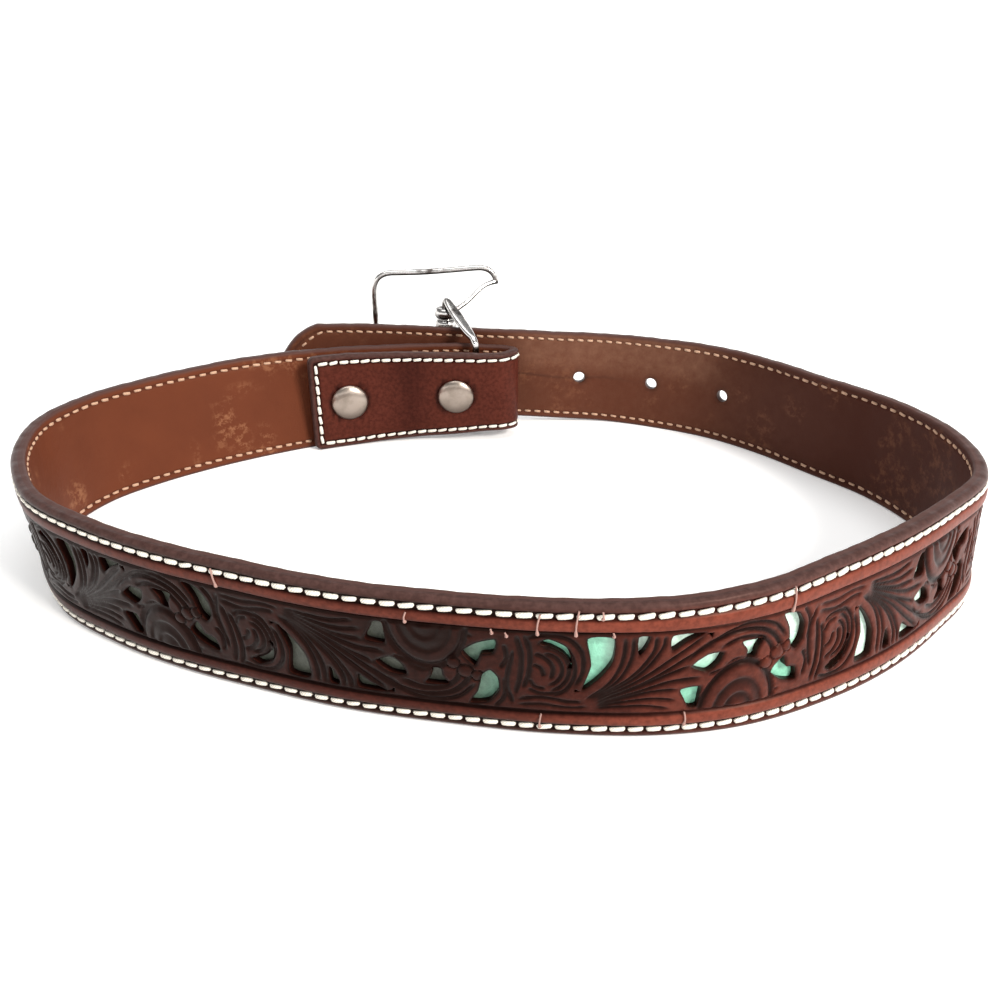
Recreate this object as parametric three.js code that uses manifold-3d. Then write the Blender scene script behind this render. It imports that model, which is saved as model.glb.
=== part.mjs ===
// Western belt, standing on its edge in an open loop with its buckle flipped open at the back.
// Millimetres, +Z up. The strap is one long band: it starts at the snapped tab, folds round the
// buckle's bail, runs once round the waist loop and ends in the free billet behind the fold.
// A place on the strap is given by s, the length along its middle line from the tab's end,
// h, the height across its width from the lower edge, and d, the depth towards the grain side.

import * as THREE from 'three';
import { mergeVertices } from 'three/addons/utils/BufferGeometryUtils.js';
import Module from 'manifold-3d';

const wasm = await Module();
wasm.setup();

// Driving dimensions of the strap
const STRAP_WIDTH = 32;
const GRAIN_LAYER = 1.4;
const INLAY_LAYER = 0.4;
const LINING_LAYER = 1.0;
const LAYER_GAP = 0.25;
const STRAP_THICKNESS = GRAIN_LAYER + INLAY_LAYER + LINING_LAYER + 2 * LAYER_GAP;
const TAB_CORNER = 2.5;
const BILLET_TAPER = 15;
const FACET_SAG = 0.1;
const FACET_MIN = 1.3;
const FACET_MAX = 9;
const CUT_MATCH = 2e-3;

// The belt's middle line in plan, from the tab's end to the billet's end. lean is how far the
// upper edge stands out beyond the lower one, rise is the lower edge's height and width narrows
// the band at the fold.
const ROUTE = [
  { x: -61.5, y: 75.2, lean: 0.5, rise: 0.0, width: 32.0 },
  { x: -50.0, y: 79.3, lean: 1.5, rise: 0.0, width: 32.0 },
  { x: -38.0, y: 82.0, lean: 3.0, rise: 0.5, width: 31.4 },
  { x: -26.0, y: 83.2, lean: 3.5, rise: 1.3, width: 30.4 },
  { x: -14.0, y: 83.2, lean: 3.5, rise: 2.2, width: 29.2 },
  { x: -5.0, y: 83.4, lean: 4.0, rise: 3.0, width: 28.2 },
  { x: 1.0, y: 84.4, lean: 3.0, rise: 3.2, width: 28.0 },
  { x: 4.6, y: 88.4, lean: 0.0, rise: 3.2, width: 28.0 },
  { x: 1.0, y: 92.4, lean: -3.0, rise: 3.2, width: 28.0 },
  { x: -6.0, y: 93.4, lean: -2.5, rise: 3.2, width: 28.0 },
  { x: -17.0, y: 92.6, lean: -1.0, rise: 2.8, width: 28.8 },
  { x: -29.0, y: 90.6, lean: 0.5, rise: 1.3, width: 30.4 },
  { x: -41.0, y: 88.0, lean: 1.0, rise: 0.5, width: 31.4 },
  { x: -53.0, y: 84.9, lean: 2.0, rise: 0.0, width: 32.0 },
  { x: -66.0, y: 79.8, lean: 4.0, rise: 0.0, width: 32.0 },
  { x: -79.3, y: 72.7, lean: 5.0, rise: 0.0, width: 32.0 },
  { x: -92.5, y: 63.1, lean: 4.2, rise: 0.0, width: 32.0 },
  { x: -105.7, y: 50.7, lean: 2.8, rise: 0.0, width: 32.0 },
  { x: -115.8, y: 37.1, lean: 1.6, rise: 0.0, width: 32.0 },
  { x: -120.2, y: 21.1, lean: 1.0, rise: 0.0, width: 32.0 },
  { x: -117.2, y: 4.9, lean: 1.2, rise: 0.0, width: 32.0 },
  { x: -110.2, y: -10.1, lean: 1.8, rise: 0.0, width: 32.0 },
  { x: -99.7, y: -24.2, lean: 2.4, rise: 0.0, width: 32.0 },
  { x: -84.0, y: -35.5, lean: 3.0, rise: 0.0, width: 32.0 },
  { x: -68.0, y: -44.1, lean: 3.6, rise: 0.0, width: 32.0 },
  { x: -50.0, y: -51.4, lean: 4.2, rise: 0.0, width: 32.0 },
  { x: -30.0, y: -58.3, lean: 4.8, rise: 0.0, width: 32.0 },
  { x: -10.0, y: -62.5, lean: 4.8, rise: 0.0, width: 32.0 },
  { x: 10.0, y: -65.2, lean: 4.2, rise: 0.0, width: 32.0 },
  { x: 30.0, y: -65.2, lean: 3.0, rise: 0.0, width: 32.0 },
  { x: 48.0, y: -61.0, lean: 0.6, rise: 0.0, width: 32.0 },
  { x: 66.0, y: -51.8, lean: -2.4, rise: 0.0, width: 32.0 },
  { x: 82.0, y: -41.4, lean: -3.2, rise: 0.0, width: 32.0 },
  { x: 97.0, y: -28.6, lean: -2.8, rise: 0.0, width: 32.0 },
  { x: 110.0, y: -14.7, lean: -2.2, rise: 0.0, width: 32.0 },
  { x: 115.7, y: 2.9, lean: -2.0, rise: 0.0, width: 32.0 },
  { x: 115.0, y: 21.3, lean: -2.2, rise: 0.0, width: 32.0 },
  { x: 108.5, y: 39.3, lean: -2.6, rise: 0.0, width: 32.0 },
  { x: 97.6, y: 55.4, lean: -2.2, rise: 0.0, width: 32.0 },
  { x: 85.7, y: 72.7, lean: -1.0, rise: 0.0, width: 32.0 },
  { x: 72.3, y: 86.6, lean: -0.2, rise: 0.0, width: 32.0 },
  { x: 55.3, y: 96.3, lean: -0.6, rise: 0.0, width: 32.0 },
  { x: 37.7, y: 102.0, lean: -1.6, rise: 0.3, width: 32.0 },
  { x: 21.0, y: 102.0, lean: -2.6, rise: 1.2, width: 32.0 },
  { x: 7.0, y: 101.1, lean: -3.2, rise: 2.2, width: 32.0 },
  { x: -7.0, y: 100.4, lean: -3.2, rise: 2.9, width: 32.0 },
  { x: -21.0, y: 101.0, lean: -2.4, rise: 3.2, width: 32.0 },
  { x: -36.0, y: 102.0, lean: -1.6, rise: 3.5, width: 32.0 },
  { x: -50.0, y: 102.0, lean: -1.0, rise: 3.8, width: 32.0 },
  { x: -64.0, y: 100.2, lean: -0.6, rise: 4.1, width: 32.0 },
  { x: -77.0, y: 96.4, lean: -0.4, rise: 4.4, width: 32.0 },
];

// The whole box's centre in plan, which becomes the origin
const BOX_CENTRE = { x: -1.781, y: 25.895 };

// Carved and pierced panel: cells of one scroll each, turned upside down in turn
const PANEL_START = 157.5;
const CELL_LENGTH = 58;
const CELL_COUNT = 7;
const CELL_SPREAD = 1.1;

// Billet holes and snaps
const BILLET_HOLE_RADIUS = 2.0;
const BILLET_HOLE_PITCH = 25.8;
const BILLET_HOLE_COUNT = 5;
const LAST_HOLE_FROM_TIP = 54.1;
const SNAP_PLACES = [12.5, 48];
const SNAP_CAP_RADIUS = 5.9;
const SNAP_CAP_HEIGHT = 1.7;
const SNAP_POST_RADIUS = 1.7;
const SNAP_HOLE_RADIUS = 2.3;
const SNAP_FLANGE_RADIUS = 4.6;
const SNAP_FLANGE = 0.8;
const SNAP_HEAD_RADIUS = 3.0;
const SEAT_GAP = 0.3;
const SNAP_SEAT = 0.45;
const SNAP_SEARCH = { from: 20, to: 160, step: 0.05, reach: 16 };

// Buckle: a wire bail through the fold, and an open frame hinged on its outer post
const BAIL_RADIUS = 1.2;
const BAIL_CORNER = 2.6;
const FOLD_POST_LOW = { x: -8.0, y: 89.9, z: 1.4 };
const FOLD_POST_HIGH = { x: -8.0, y: 86.9, z: 33.4 };
const HINGE_POST = { x: -19.0, y: 109.4, low: 1.4, high: 42.6 };
const BARREL_RADIUS = 3.2;
const BARREL_BORE = 1.5;
const BARREL_LOW = 7;
const BARREL_HIGH = 39.4;
const FRAME_LEFT = -44.5;
const FRAME_RIGHT = -1.2;
const FRAME_LOW = 1.9;
const FRAME_HIGH = 50.0;
const FRAME_CORNER = 7;
const FRAME_Y_LEFT = 116.0;
const FRAME_Y_RIGHT = 119.5;
const FRAME_WIRE_RADIUS = 1.45;
const HINGE_SIDE_OPEN = { low: 10.6, high: 44.8 };
const NECK_RADIUS = 0.85;
const NECK_UPPER = { onFrame: 46.5, onBarrel: 37.6 };
const NECK_LOWER = { onFrame: 9, onBarrel: 9 };
const WIRE_SIDES = 8;
const NECK_SIDES = 6;
const TURNED_SIDES = 12;
const HOOK = { height: 26, radius: 1.3, reach: 5, headRadius: 2.0, head: 1.0 };

// One opening of the panel: corner points as [along, height] from the cell's start and the
// strap's lower edge, joined by a smooth closed curve and spread about the strap's middle line
const OPENINGS = {
  tallCrescent: [[12.8, 23.7], [17.3, 23.8], [17.4, 19.0], [15.4, 15.4], [12.3, 12.4], [13.7, 18.0]],
  fanSlit: [[21.6, 24.0], [23.6, 24.0], [23.0, 21.6], [21.9, 20.2]],
  fanWedge: [[27.6, 24.0], [33.4, 24.0], [30.2, 22.4], [27.8, 20.8]],
  stemLens: [[31.8, 17.0], [34.6, 19.2], [37.6, 19.2], [36.9, 17.0], [34.9, 15.5]],
  budGate: [[41.2, 20.7], [45.6, 20.5], [44.6, 18.6], [44.3, 17.0], [42.6, 17.1], [42.4, 18.9]],
  petalGate: [[30.4, 12.2], [34.0, 12.5], [34.2, 10.0], [34.0, 8.0], [32.4, 8.0], [31.2, 10.2]],
  spandrel: [[50.8, 15.4], [48.4, 12.8], [51.2, 10.4], [54.6, 9.4], [54.2, 12.2], [51.9, 12.9]],
  teardrop: [[49.6, 24.2], [53.0, 23.6], [55.0, 20.8], [54.9, 17.8], [53.5, 16.2], [52.0, 17.6], [51.2, 21.2]],
  scrollSlit: [[4.4, 22.4], [6.0, 23.4], [9.2, 21.8], [10.2, 18.6], [8.6, 20.4], [6.6, 21.6]],
};

/** Catmull-Rom curves through the route's places, and through the band's set at each place. */
class StrapRoute {
  constructor(rows) {
    const line = rows.map((row) => new THREE.Vector3(row.x, row.y, row.lean));
    const set = rows.map((row) => new THREE.Vector3(row.rise, row.width, 0));
    this.line = new THREE.CatmullRomCurve3(line, false, 'catmullrom', 0.5);
    this.set = new THREE.CatmullRomCurve3(set, false, 'catmullrom', 0.5);
    this.samples = 4000;
    this.lengths = [0];
    let before = this.line.getPoint(0);
    for (let i = 1; i <= this.samples; i += 1) {
      const here = this.line.getPoint(i / this.samples);
      this.lengths.push(this.lengths[i - 1] + Math.hypot(here.x - before.x, here.y - before.y));
      before = here;
    }
    this.length = this.lengths[this.samples];
  }

  /** The curve parameter at length s. */
  parameter(s) {
    let low = 0;
    let high = this.samples;
    while (high - low > 1) {
      const middle = (low + high) >> 1;
      if (this.lengths[middle] <= s) low = middle;
      else high = middle;
    }
    const part = (s - this.lengths[low]) / (this.lengths[high] - this.lengths[low]);
    return Math.min(1, Math.max(0, (low + part) / this.samples));
  }

  /** Place, outward direction and set of the band at length s. */
  at(s) {
    const t = this.parameter(s);
    const place = this.line.getPoint(t);
    const ahead = this.line.getPoint(Math.min(1, t + 1e-4));
    const behind = this.line.getPoint(Math.max(0, t - 1e-4));
    const run = Math.hypot(ahead.x - behind.x, ahead.y - behind.y);
    const set = this.set.getPoint(t);
    return {
      x: place.x,
      y: place.y,
      outX: (ahead.y - behind.y) / run,
      outY: -(ahead.x - behind.x) / run,
      lean: place.z,
      rise: Math.max(0, set.x),
      width: Math.min(STRAP_WIDTH, set.y),
    };
  }

  /** The point at (s, h, d) in space. */
  point(s, h, d) {
    const here = this.at(s);
    const across = h / STRAP_WIDTH - 0.5;
    const out = d + here.lean * across;
    return new THREE.Vector3(
      here.x + here.outX * out,
      here.y + here.outY * out,
      here.rise + (here.width * h) / STRAP_WIDTH,
    );
  }

  /** How sharply the line bends at length s, in 1/mm. */
  bend(s) {
    const step = 0.8;
    const a = this.at(Math.max(0, s - step));
    const b = this.at(Math.min(this.length, s + step));
    const turn = Math.abs(a.outX * b.outY - a.outY * b.outX);
    return turn / (2 * step);
  }

  /** Facet stations: close together where the band bends, wide apart where it runs straight. */
  stations() {
    const list = [0];
    let s = 0;
    while (s < this.length - 1e-6) {
      const bend = Math.max(this.bend(s + 1), this.bend(s + 3), 1e-4);
      const step = Math.sqrt((8 * FACET_SAG) / bend);
      s += Math.min(FACET_MAX, Math.max(FACET_MIN, step));
      list.push(Math.min(s, this.length));
    }
    return list;
  }
}

const route = new StrapRoute(ROUTE);
const stations = route.stations();

/** Maps flat strap coordinates into space, straight between one facet station and the next. */
function ontoFacets(s, h, d) {
  let i = 0;
  while (i < stations.length - 2 && stations[i + 1] < s) i += 1;
  const part = (s - stations[i]) / (stations[i + 1] - stations[i]);
  return route.point(stations[i], h, d).lerp(route.point(stations[i + 1], h, d), part);
}

/** A manifold solid from a closed three.js geometry. */
function toSolid(geometry) {
  const bare = geometry.clone();
  for (const name of ['normal', 'uv']) bare.deleteAttribute(name);
  const merged = mergeVertices(bare, 1e-4);
  return new wasm.Manifold(new wasm.Mesh({
    numProp: 3,
    vertProperties: new Float32Array(merged.attributes.position.array),
    triVerts: new Uint32Array(merged.index.array),
  }));
}

/** A three.js geometry from a manifold solid. */
function toGeometry(solid) {
  const mesh = solid.getMesh();
  const geometry = new THREE.BufferGeometry();
  geometry.setAttribute('position', new THREE.BufferAttribute(mesh.vertProperties, 3));
  geometry.setIndex(new THREE.BufferAttribute(mesh.triVerts, 1));
  geometry.computeVertexNormals();
  return geometry;
}

/** A smooth closed curve through corner points, as a path to cut out. */
function smoothHole(corners, along, upsideDown) {
  const middle = STRAP_WIDTH / 2;
  const spread = upsideDown ? -CELL_SPREAD : CELL_SPREAD;
  const points = corners.map(([u, h]) => new THREE.Vector3(along + u, middle + spread * (h - middle), 0));
  const curve = new THREE.CatmullRomCurve3(points, true, 'catmullrom', 0.35);
  const outline = curve.getPoints(corners.length * 2).slice(0, -1);
  return new THREE.Path(outline.map((point) => new THREE.Vector2(point.x, point.y)));
}

/** A round hole of a given radius. */
function roundHole(along, height, radius, sides = 14) {
  const outline = [];
  for (let i = 0; i < sides; i += 1) {
    const angle = (2 * Math.PI * i) / sides;
    outline.push(new THREE.Vector2(along + radius * Math.cos(angle), height + radius * Math.sin(angle)));
  }
  return new THREE.Path(outline);
}

/** Flat outline of a full-width layer: rounded tab corners and a pointed billet. */
function strapOutline() {
  const end = route.length;
  const shape = new THREE.Shape();
  shape.moveTo(TAB_CORNER, 0);
  shape.lineTo(end - BILLET_TAPER, 0);
  shape.quadraticCurveTo(end - BILLET_TAPER * 0.3, STRAP_WIDTH * 0.1, end, STRAP_WIDTH / 2);
  shape.quadraticCurveTo(end - BILLET_TAPER * 0.3, STRAP_WIDTH * 0.9, end - BILLET_TAPER, STRAP_WIDTH);
  shape.lineTo(TAB_CORNER, STRAP_WIDTH);
  shape.quadraticCurveTo(0, STRAP_WIDTH, 0, STRAP_WIDTH - TAB_CORNER);
  shape.lineTo(0, TAB_CORNER);
  shape.quadraticCurveTo(0, 0, TAB_CORNER, 0);
  return shape;
}

/** A flat rectangle of one layer. */
function bandOutline(from, to, low, high) {
  const shape = new THREE.Shape();
  shape.moveTo(from, low);
  shape.lineTo(to, low);
  shape.lineTo(to, high);
  shape.lineTo(from, high);
  shape.closePath();
  return shape;
}

/** Gathers corner points, and gives points that meet on a cut between two strips one number. */
class CornerBook {
  constructor() {
    this.corners = [];
    this.onCuts = new Map();
  }

  /** The number of a new corner in space. */
  add(point) {
    this.corners.push(point.x, point.y, point.z);
    return this.corners.length / 3 - 1;
  }

  /** The number of the corner at height h and depth d on the cut at station i. */
  onCut(i, h, d) {
    if (!this.onCuts.has(i)) this.onCuts.set(i, []);
    const known = this.onCuts.get(i);
    const same = known.find((corner) => Math.hypot(corner.h - h, corner.d - d) < CUT_MATCH);
    if (same) return same.number;
    const number = this.add(route.point(stations[i], h, d));
    known.push({ h, d, number });
    return number;
  }

  /** Corners of the cut at station i that lie between two of its corners, in order from the first. */
  between(i, first, last) {
    const known = this.onCuts.get(i);
    const a = known.find((corner) => corner.number === first);
    const b = known.find((corner) => corner.number === last);
    const span = Math.hypot(b.h - a.h, b.d - a.d);
    const part = (corner) => ((corner.h - a.h) * (b.h - a.h) + (corner.d - a.d) * (b.d - a.d)) / span;
    const off = (corner) => Math.abs((corner.h - a.h) * (b.d - a.d) - (corner.d - a.d) * (b.h - a.h)) / span;
    return known
      .filter((corner) => off(corner) < CUT_MATCH && part(corner) > CUT_MATCH && part(corner) < span - CUT_MATCH)
      .sort((p, q) => part(p) - part(q))
      .map((corner) => corner.number);
  }
}

/** One layer of the strap: a flat sheet cut at the facet stations and laid along the route. */
function strapLayer(shape, holes, inner, outer) {
  shape.holes.push(...holes);
  const sheet = new THREE.ExtrudeGeometry(shape, {
    depth: outer - inner,
    bevelEnabled: false,
    steps: 1,
    curveSegments: 5,
  });
  sheet.translate(0, 0, inner);
  const flat = toSolid(sheet);
  const book = new CornerBook();
  const triangles = [];
  for (let i = 0; i < stations.length - 1; i += 1) {
    const [from, to] = [stations[i], stations[i + 1]];
    const box = new THREE.BoxGeometry(to - from, STRAP_WIDTH * 2, STRAP_THICKNESS * 3);
    box.translate((from + to) / 2, STRAP_WIDTH / 2, 0);
    const strip = flat.intersect(toSolid(box)).getMesh();
    const corners = [];
    for (let v = 0; v < strip.vertProperties.length; v += 3) {
      const [s, h, d] = strip.vertProperties.slice(v, v + 3);
      const atStart = i > 0 && Math.abs(s - from) < CUT_MATCH;
      const atEnd = i < stations.length - 2 && Math.abs(s - to) < CUT_MATCH;
      const cut = atStart ? i : i + 1;
      if (atStart || atEnd) corners.push({ cut, number: book.onCut(cut, h, d) });
      else corners.push({ cut: 0, number: book.add(ontoFacets(s, h, d)) });
    }
    for (let k = 0; k < strip.triVerts.length; k += 3) {
      const triangle = [0, 1, 2].map((j) => corners[strip.triVerts[k + j]]);
      const onOneCut = triangle[0].cut > 0 && triangle.every((corner) => corner.cut === triangle[0].cut);
      if (!onOneCut) triangles.push(triangle);
    }
  }
  const index = [];
  for (const triangle of triangles) {
    const turn = [0, 1, 2].find((j) => triangle[j].cut > 0 && triangle[j].cut === triangle[(j + 1) % 3].cut) ?? 0;
    const [a, b, c] = [0, 1, 2].map((j) => triangle[(turn + j) % 3]);
    const onCut = a.cut > 0 && a.cut === b.cut;
    const edge = [a.number, ...(onCut ? book.between(a.cut, a.number, b.number) : []), b.number];
    for (let j = 0; j < edge.length - 1; j += 1) index.push(edge[j], edge[j + 1], c.number);
  }
  const geometry = new THREE.BufferGeometry();
  geometry.setAttribute('position', new THREE.Float32BufferAttribute(book.corners, 3));
  geometry.setIndex(index);
  geometry.computeVertexNormals();
  return geometry;
}

/** A bar of round section along a closed or open line of points. */
function wire(points, radius, sides, closed) {
  const curve = new THREE.CatmullRomCurve3(points, closed, 'centripetal');
  const path = closed ? points : curve.getPoints(points.length * 2);
  const count = path.length;
  const positions = [];
  const index = [];
  const tangent = (i) => {
    const ahead = path[closed ? (i + 1) % count : Math.min(count - 1, i + 1)];
    const behind = path[closed ? (i - 1 + count) % count : Math.max(0, i - 1)];
    return new THREE.Vector3().subVectors(ahead, behind).normalize();
  };
  const spread = new THREE.Vector3();
  for (let i = 1; i < count - 1; i += 1) {
    const a = new THREE.Vector3().subVectors(path[i], path[i - 1]);
    const b = new THREE.Vector3().subVectors(path[i + 1], path[i]);
    spread.add(a.cross(b));
  }
  const plane = spread.normalize();
  for (let i = 0; i < count; i += 1) {
    const along = tangent(i);
    const side = new THREE.Vector3().crossVectors(plane, along).normalize();
    const up = new THREE.Vector3().crossVectors(along, side).normalize();
    for (let k = 0; k < sides; k += 1) {
      const angle = (2 * Math.PI * k) / sides;
      const point = path[i].clone()
        .addScaledVector(side, radius * Math.cos(angle))
        .addScaledVector(up, radius * Math.sin(angle));
      positions.push(point.x, point.y, point.z);
    }
  }
  const rings = closed ? count : count - 1;
  for (let i = 0; i < rings; i += 1) {
    const next = (i + 1) % count;
    for (let k = 0; k < sides; k += 1) {
      const [a, b] = [i * sides + k, i * sides + ((k + 1) % sides)];
      const [c, d] = [next * sides + k, next * sides + ((k + 1) % sides)];
      index.push(a, b, d, a, d, c);
    }
  }
  if (!closed) {
    for (let k = 1; k < sides - 1; k += 1) {
      const last = (count - 1) * sides;
      index.push(0, k + 1, k, last, last + k, last + k + 1);
    }
  }
  const geometry = new THREE.BufferGeometry();
  geometry.setAttribute('position', new THREE.Float32BufferAttribute(positions, 3));
  geometry.setIndex(index);
  geometry.computeVertexNormals();
  return geometry;
}

const leather = new THREE.MeshStandardMaterial({ color: 0x4a2418, roughness: 0.5, metalness: 0 });
const liningLeather = new THREE.MeshStandardMaterial({ color: 0x74402a, roughness: 0.65, metalness: 0 });
const mint = new THREE.MeshStandardMaterial({ color: 0x86d6b4, roughness: 0.55, metalness: 0 });
const nickel = new THREE.MeshStandardMaterial({ color: 0xb9b4ae, roughness: 0.3, metalness: 1 });

const belt = new THREE.Group();

/** Adds a named piece to the belt. */
function addPiece(name, geometry, material) {
  const mesh = new THREE.Mesh(geometry, material.clone());
  mesh.name = name;
  belt.add(mesh);
  return mesh;
}

/** Where the snap's axis from the tab meets the strap behind it. */
function behindTab(s) {
  const start = route.at(s);
  let best = { miss: Infinity, s: 0 };
  for (let other = s + SNAP_SEARCH.from; other < s + SNAP_SEARCH.to; other += SNAP_SEARCH.step) {
    const there = route.at(other);
    const toX = there.x - start.x;
    const toY = there.y - start.y;
    const miss = Math.abs(toX * start.outY - toY * start.outX);
    const distance = Math.hypot(toX, toY);
    if (distance < SNAP_SEARCH.reach && miss < best.miss) best = { miss, s: other, distance };
  }
  return best;
}

const snaps = SNAP_PLACES.map((s) => ({ tab: s, ...behindTab(s) }));
const holeMiddle = STRAP_WIDTH / 2;
const snapHoles = () => snaps.flatMap((snap) => [
  roundHole(snap.tab, holeMiddle, SNAP_HOLE_RADIUS),
  roundHole(snap.s, holeMiddle, SNAP_HOLE_RADIUS),
]);
const billetHoles = () => {
  const holes = [];
  for (let i = 0; i < BILLET_HOLE_COUNT; i += 1) {
    const along = route.length - LAST_HOLE_FROM_TIP - i * BILLET_HOLE_PITCH;
    holes.push(roundHole(along, holeMiddle, BILLET_HOLE_RADIUS));
  }
  return holes;
};
const panelOpenings = () => {
  const holes = [];
  for (let cell = 0; cell < CELL_COUNT; cell += 1) {
    for (const corners of Object.values(OPENINGS)) {
      holes.push(smoothHole(corners, PANEL_START + cell * CELL_LENGTH, cell % 2 === 1));
    }
  }
  return holes;
};

// The strap's three layers, from the lining out to the grain
const liningInner = -STRAP_THICKNESS / 2;
const liningOuter = liningInner + LINING_LAYER;
const inlayInner = liningOuter + LAYER_GAP;
const inlayOuter = inlayInner + INLAY_LAYER;
const grainInner = inlayOuter + LAYER_GAP;
const grainOuter = STRAP_THICKNESS / 2;
const INLAY_MARGIN = 5;

addPiece(
  'tooled_strap',
  strapLayer(strapOutline(), [...snapHoles(), ...billetHoles(), ...panelOpenings()], grainInner, grainOuter),
  leather,
);
addPiece(
  'inlay_sheet',
  strapLayer(
    bandOutline(
      PANEL_START - INLAY_MARGIN,
      PANEL_START + CELL_COUNT * CELL_LENGTH + INLAY_MARGIN,
      INLAY_MARGIN,
      STRAP_WIDTH - INLAY_MARGIN,
    ),
    [],
    inlayInner,
    inlayOuter,
  ),
  mint,
);
addPiece(
  'lining',
  strapLayer(strapOutline(), [...snapHoles(), ...billetHoles()], liningInner, liningOuter),
  liningLeather,
);

/** Turns a lathe made along +Y so that it stands along a direction, at a place. */
function standAlong(mesh, place, direction) {
  mesh.position.copy(place);
  mesh.quaternion.setFromUnitVectors(new THREE.Vector3(0, 1, 0), direction);
}

/** A lathe from radius and height pairs, closed on its axis. */
function turned(profile, sides) {
  return new THREE.LatheGeometry(profile.map(([r, y]) => new THREE.Vector2(r, y)), sides);
}

/** The middle of the strap at length s and its outward direction square to the leather. */
function strapFace(s) {
  const here = route.at(s);
  const up = route.point(s, STRAP_WIDTH, 0).sub(route.point(s, 0, 0)).normalize();
  const axis = new THREE.Vector3(here.outX, here.outY, 0);
  return { middle: route.point(s, holeMiddle, 0), axis: axis.addScaledVector(up, -axis.dot(up)).normalize() };
}

// Snaps: a domed cap with its socket on the tab, and a stud on the strap behind it
const SNAP_SIDES = 16;
snaps.forEach((snap, i) => {
  const face = STRAP_THICKNESS / 2 + SNAP_SEAT;
  const meet = snap.distance / 2 - SEAT_GAP;
  const onTab = strapFace(snap.tab);
  const cap = addPiece(`snap_cap_${i + 1}`, turned([
    [0, -meet],
    [SNAP_HEAD_RADIUS, -meet],
    [SNAP_HEAD_RADIUS, -face],
    [SNAP_POST_RADIUS, -face],
    [SNAP_POST_RADIUS, face],
    [SNAP_CAP_RADIUS - 0.3, face],
    [SNAP_CAP_RADIUS, face + 0.35],
    [SNAP_CAP_RADIUS * 0.86, face + SNAP_CAP_HEIGHT * 0.6],
    [SNAP_CAP_RADIUS * 0.5, face + SNAP_CAP_HEIGHT * 0.93],
    [0, face + SNAP_CAP_HEIGHT],
  ], SNAP_SIDES), nickel);
  standAlong(cap, onTab.middle, onTab.axis);
  const onStrap = strapFace(snap.s);
  const stud = addPiece(`snap_stud_${i + 1}`, turned([
    [0, -meet],
    [SNAP_HEAD_RADIUS, -meet],
    [SNAP_HEAD_RADIUS, -face],
    [SNAP_POST_RADIUS, -face],
    [SNAP_POST_RADIUS, face],
    [SNAP_FLANGE_RADIUS, face],
    [SNAP_FLANGE_RADIUS - 0.4, face + SNAP_FLANGE],
    [0, face + SNAP_FLANGE],
  ], SNAP_SIDES), nickel);
  standAlong(stud, onStrap.middle, onStrap.axis);
});

/** Points of a four-sided loop with rounded corners, in a plane given by its corners. */
function roundedLoop(corners, radius, arcSteps) {
  const points = [];
  corners.forEach((corner, i) => {
    const before = corners[(i + corners.length - 1) % corners.length];
    const after = corners[(i + 1) % corners.length];
    const start = corner.clone().add(before.clone().sub(corner).setLength(radius));
    const end = corner.clone().add(after.clone().sub(corner).setLength(radius));
    const arc = new THREE.QuadraticBezierCurve3(start, corner, end);
    points.push(...arc.getPoints(arcSteps));
  });
  return points;
}

// The bail: lower and upper arms run under and over the strap from the fold to the hinge post
const bailCorners = [
  new THREE.Vector3(FOLD_POST_LOW.x, FOLD_POST_LOW.y, FOLD_POST_LOW.z),
  new THREE.Vector3(HINGE_POST.x, HINGE_POST.y, HINGE_POST.low),
  new THREE.Vector3(HINGE_POST.x, HINGE_POST.y, HINGE_POST.high),
  new THREE.Vector3(FOLD_POST_HIGH.x, FOLD_POST_HIGH.y, FOLD_POST_HIGH.z),
];
addPiece('bail', wire(roundedLoop(bailCorners, BAIL_CORNER, 4), BAIL_RADIUS, WIRE_SIDES, true), nickel);

/** Depth of the frame's plane at a place along X. */
function frameY(x) {
  const part = (x - FRAME_LEFT) / (FRAME_RIGHT - FRAME_LEFT);
  return THREE.MathUtils.lerp(FRAME_Y_LEFT, FRAME_Y_RIGHT, part);
}

const frameCorners = [[FRAME_LEFT, FRAME_LOW], [FRAME_RIGHT, FRAME_LOW], [FRAME_RIGHT, FRAME_HIGH],
  [FRAME_LEFT, FRAME_HIGH]].map(([x, z]) => new THREE.Vector3(x, frameY(x), z));
const barrel = turned([
  [BARREL_BORE, 0],
  [BARREL_RADIUS, 0],
  [BARREL_RADIUS, BARREL_HIGH - BARREL_LOW],
  [BARREL_BORE, BARREL_HIGH - BARREL_LOW],
  [BARREL_BORE, 0],
], TURNED_SIDES);
barrel.rotateX(Math.PI / 2);
barrel.translate(HINGE_POST.x, HINGE_POST.y, BARREL_LOW);

/** One arm of the neck, from the frame's hinge side back to the barrel. */
function neckArm({ onFrame, onBarrel }) {
  const start = new THREE.Vector3(FRAME_RIGHT, frameY(FRAME_RIGHT), onFrame);
  const end = new THREE.Vector3(HINGE_POST.x + BARREL_RADIUS * 0.7, HINGE_POST.y, onBarrel);
  const knee = start.clone().lerp(end, 0.3);
  knee.z = THREE.MathUtils.lerp(onFrame, onBarrel, 0.15);
  return wire([start, knee, start.clone().lerp(end, 0.65), end], NECK_RADIUS, NECK_SIDES, false);
}

// The frame's wire has no bar on its hinge side, between the two arms of its neck
const openSide = new THREE.BoxGeometry(
  4 * FRAME_WIRE_RADIUS,
  4 * FRAME_WIRE_RADIUS,
  HINGE_SIDE_OPEN.high - HINGE_SIDE_OPEN.low,
);
openSide.translate(FRAME_RIGHT, frameY(FRAME_RIGHT), (HINGE_SIDE_OPEN.high + HINGE_SIDE_OPEN.low) / 2);

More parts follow.
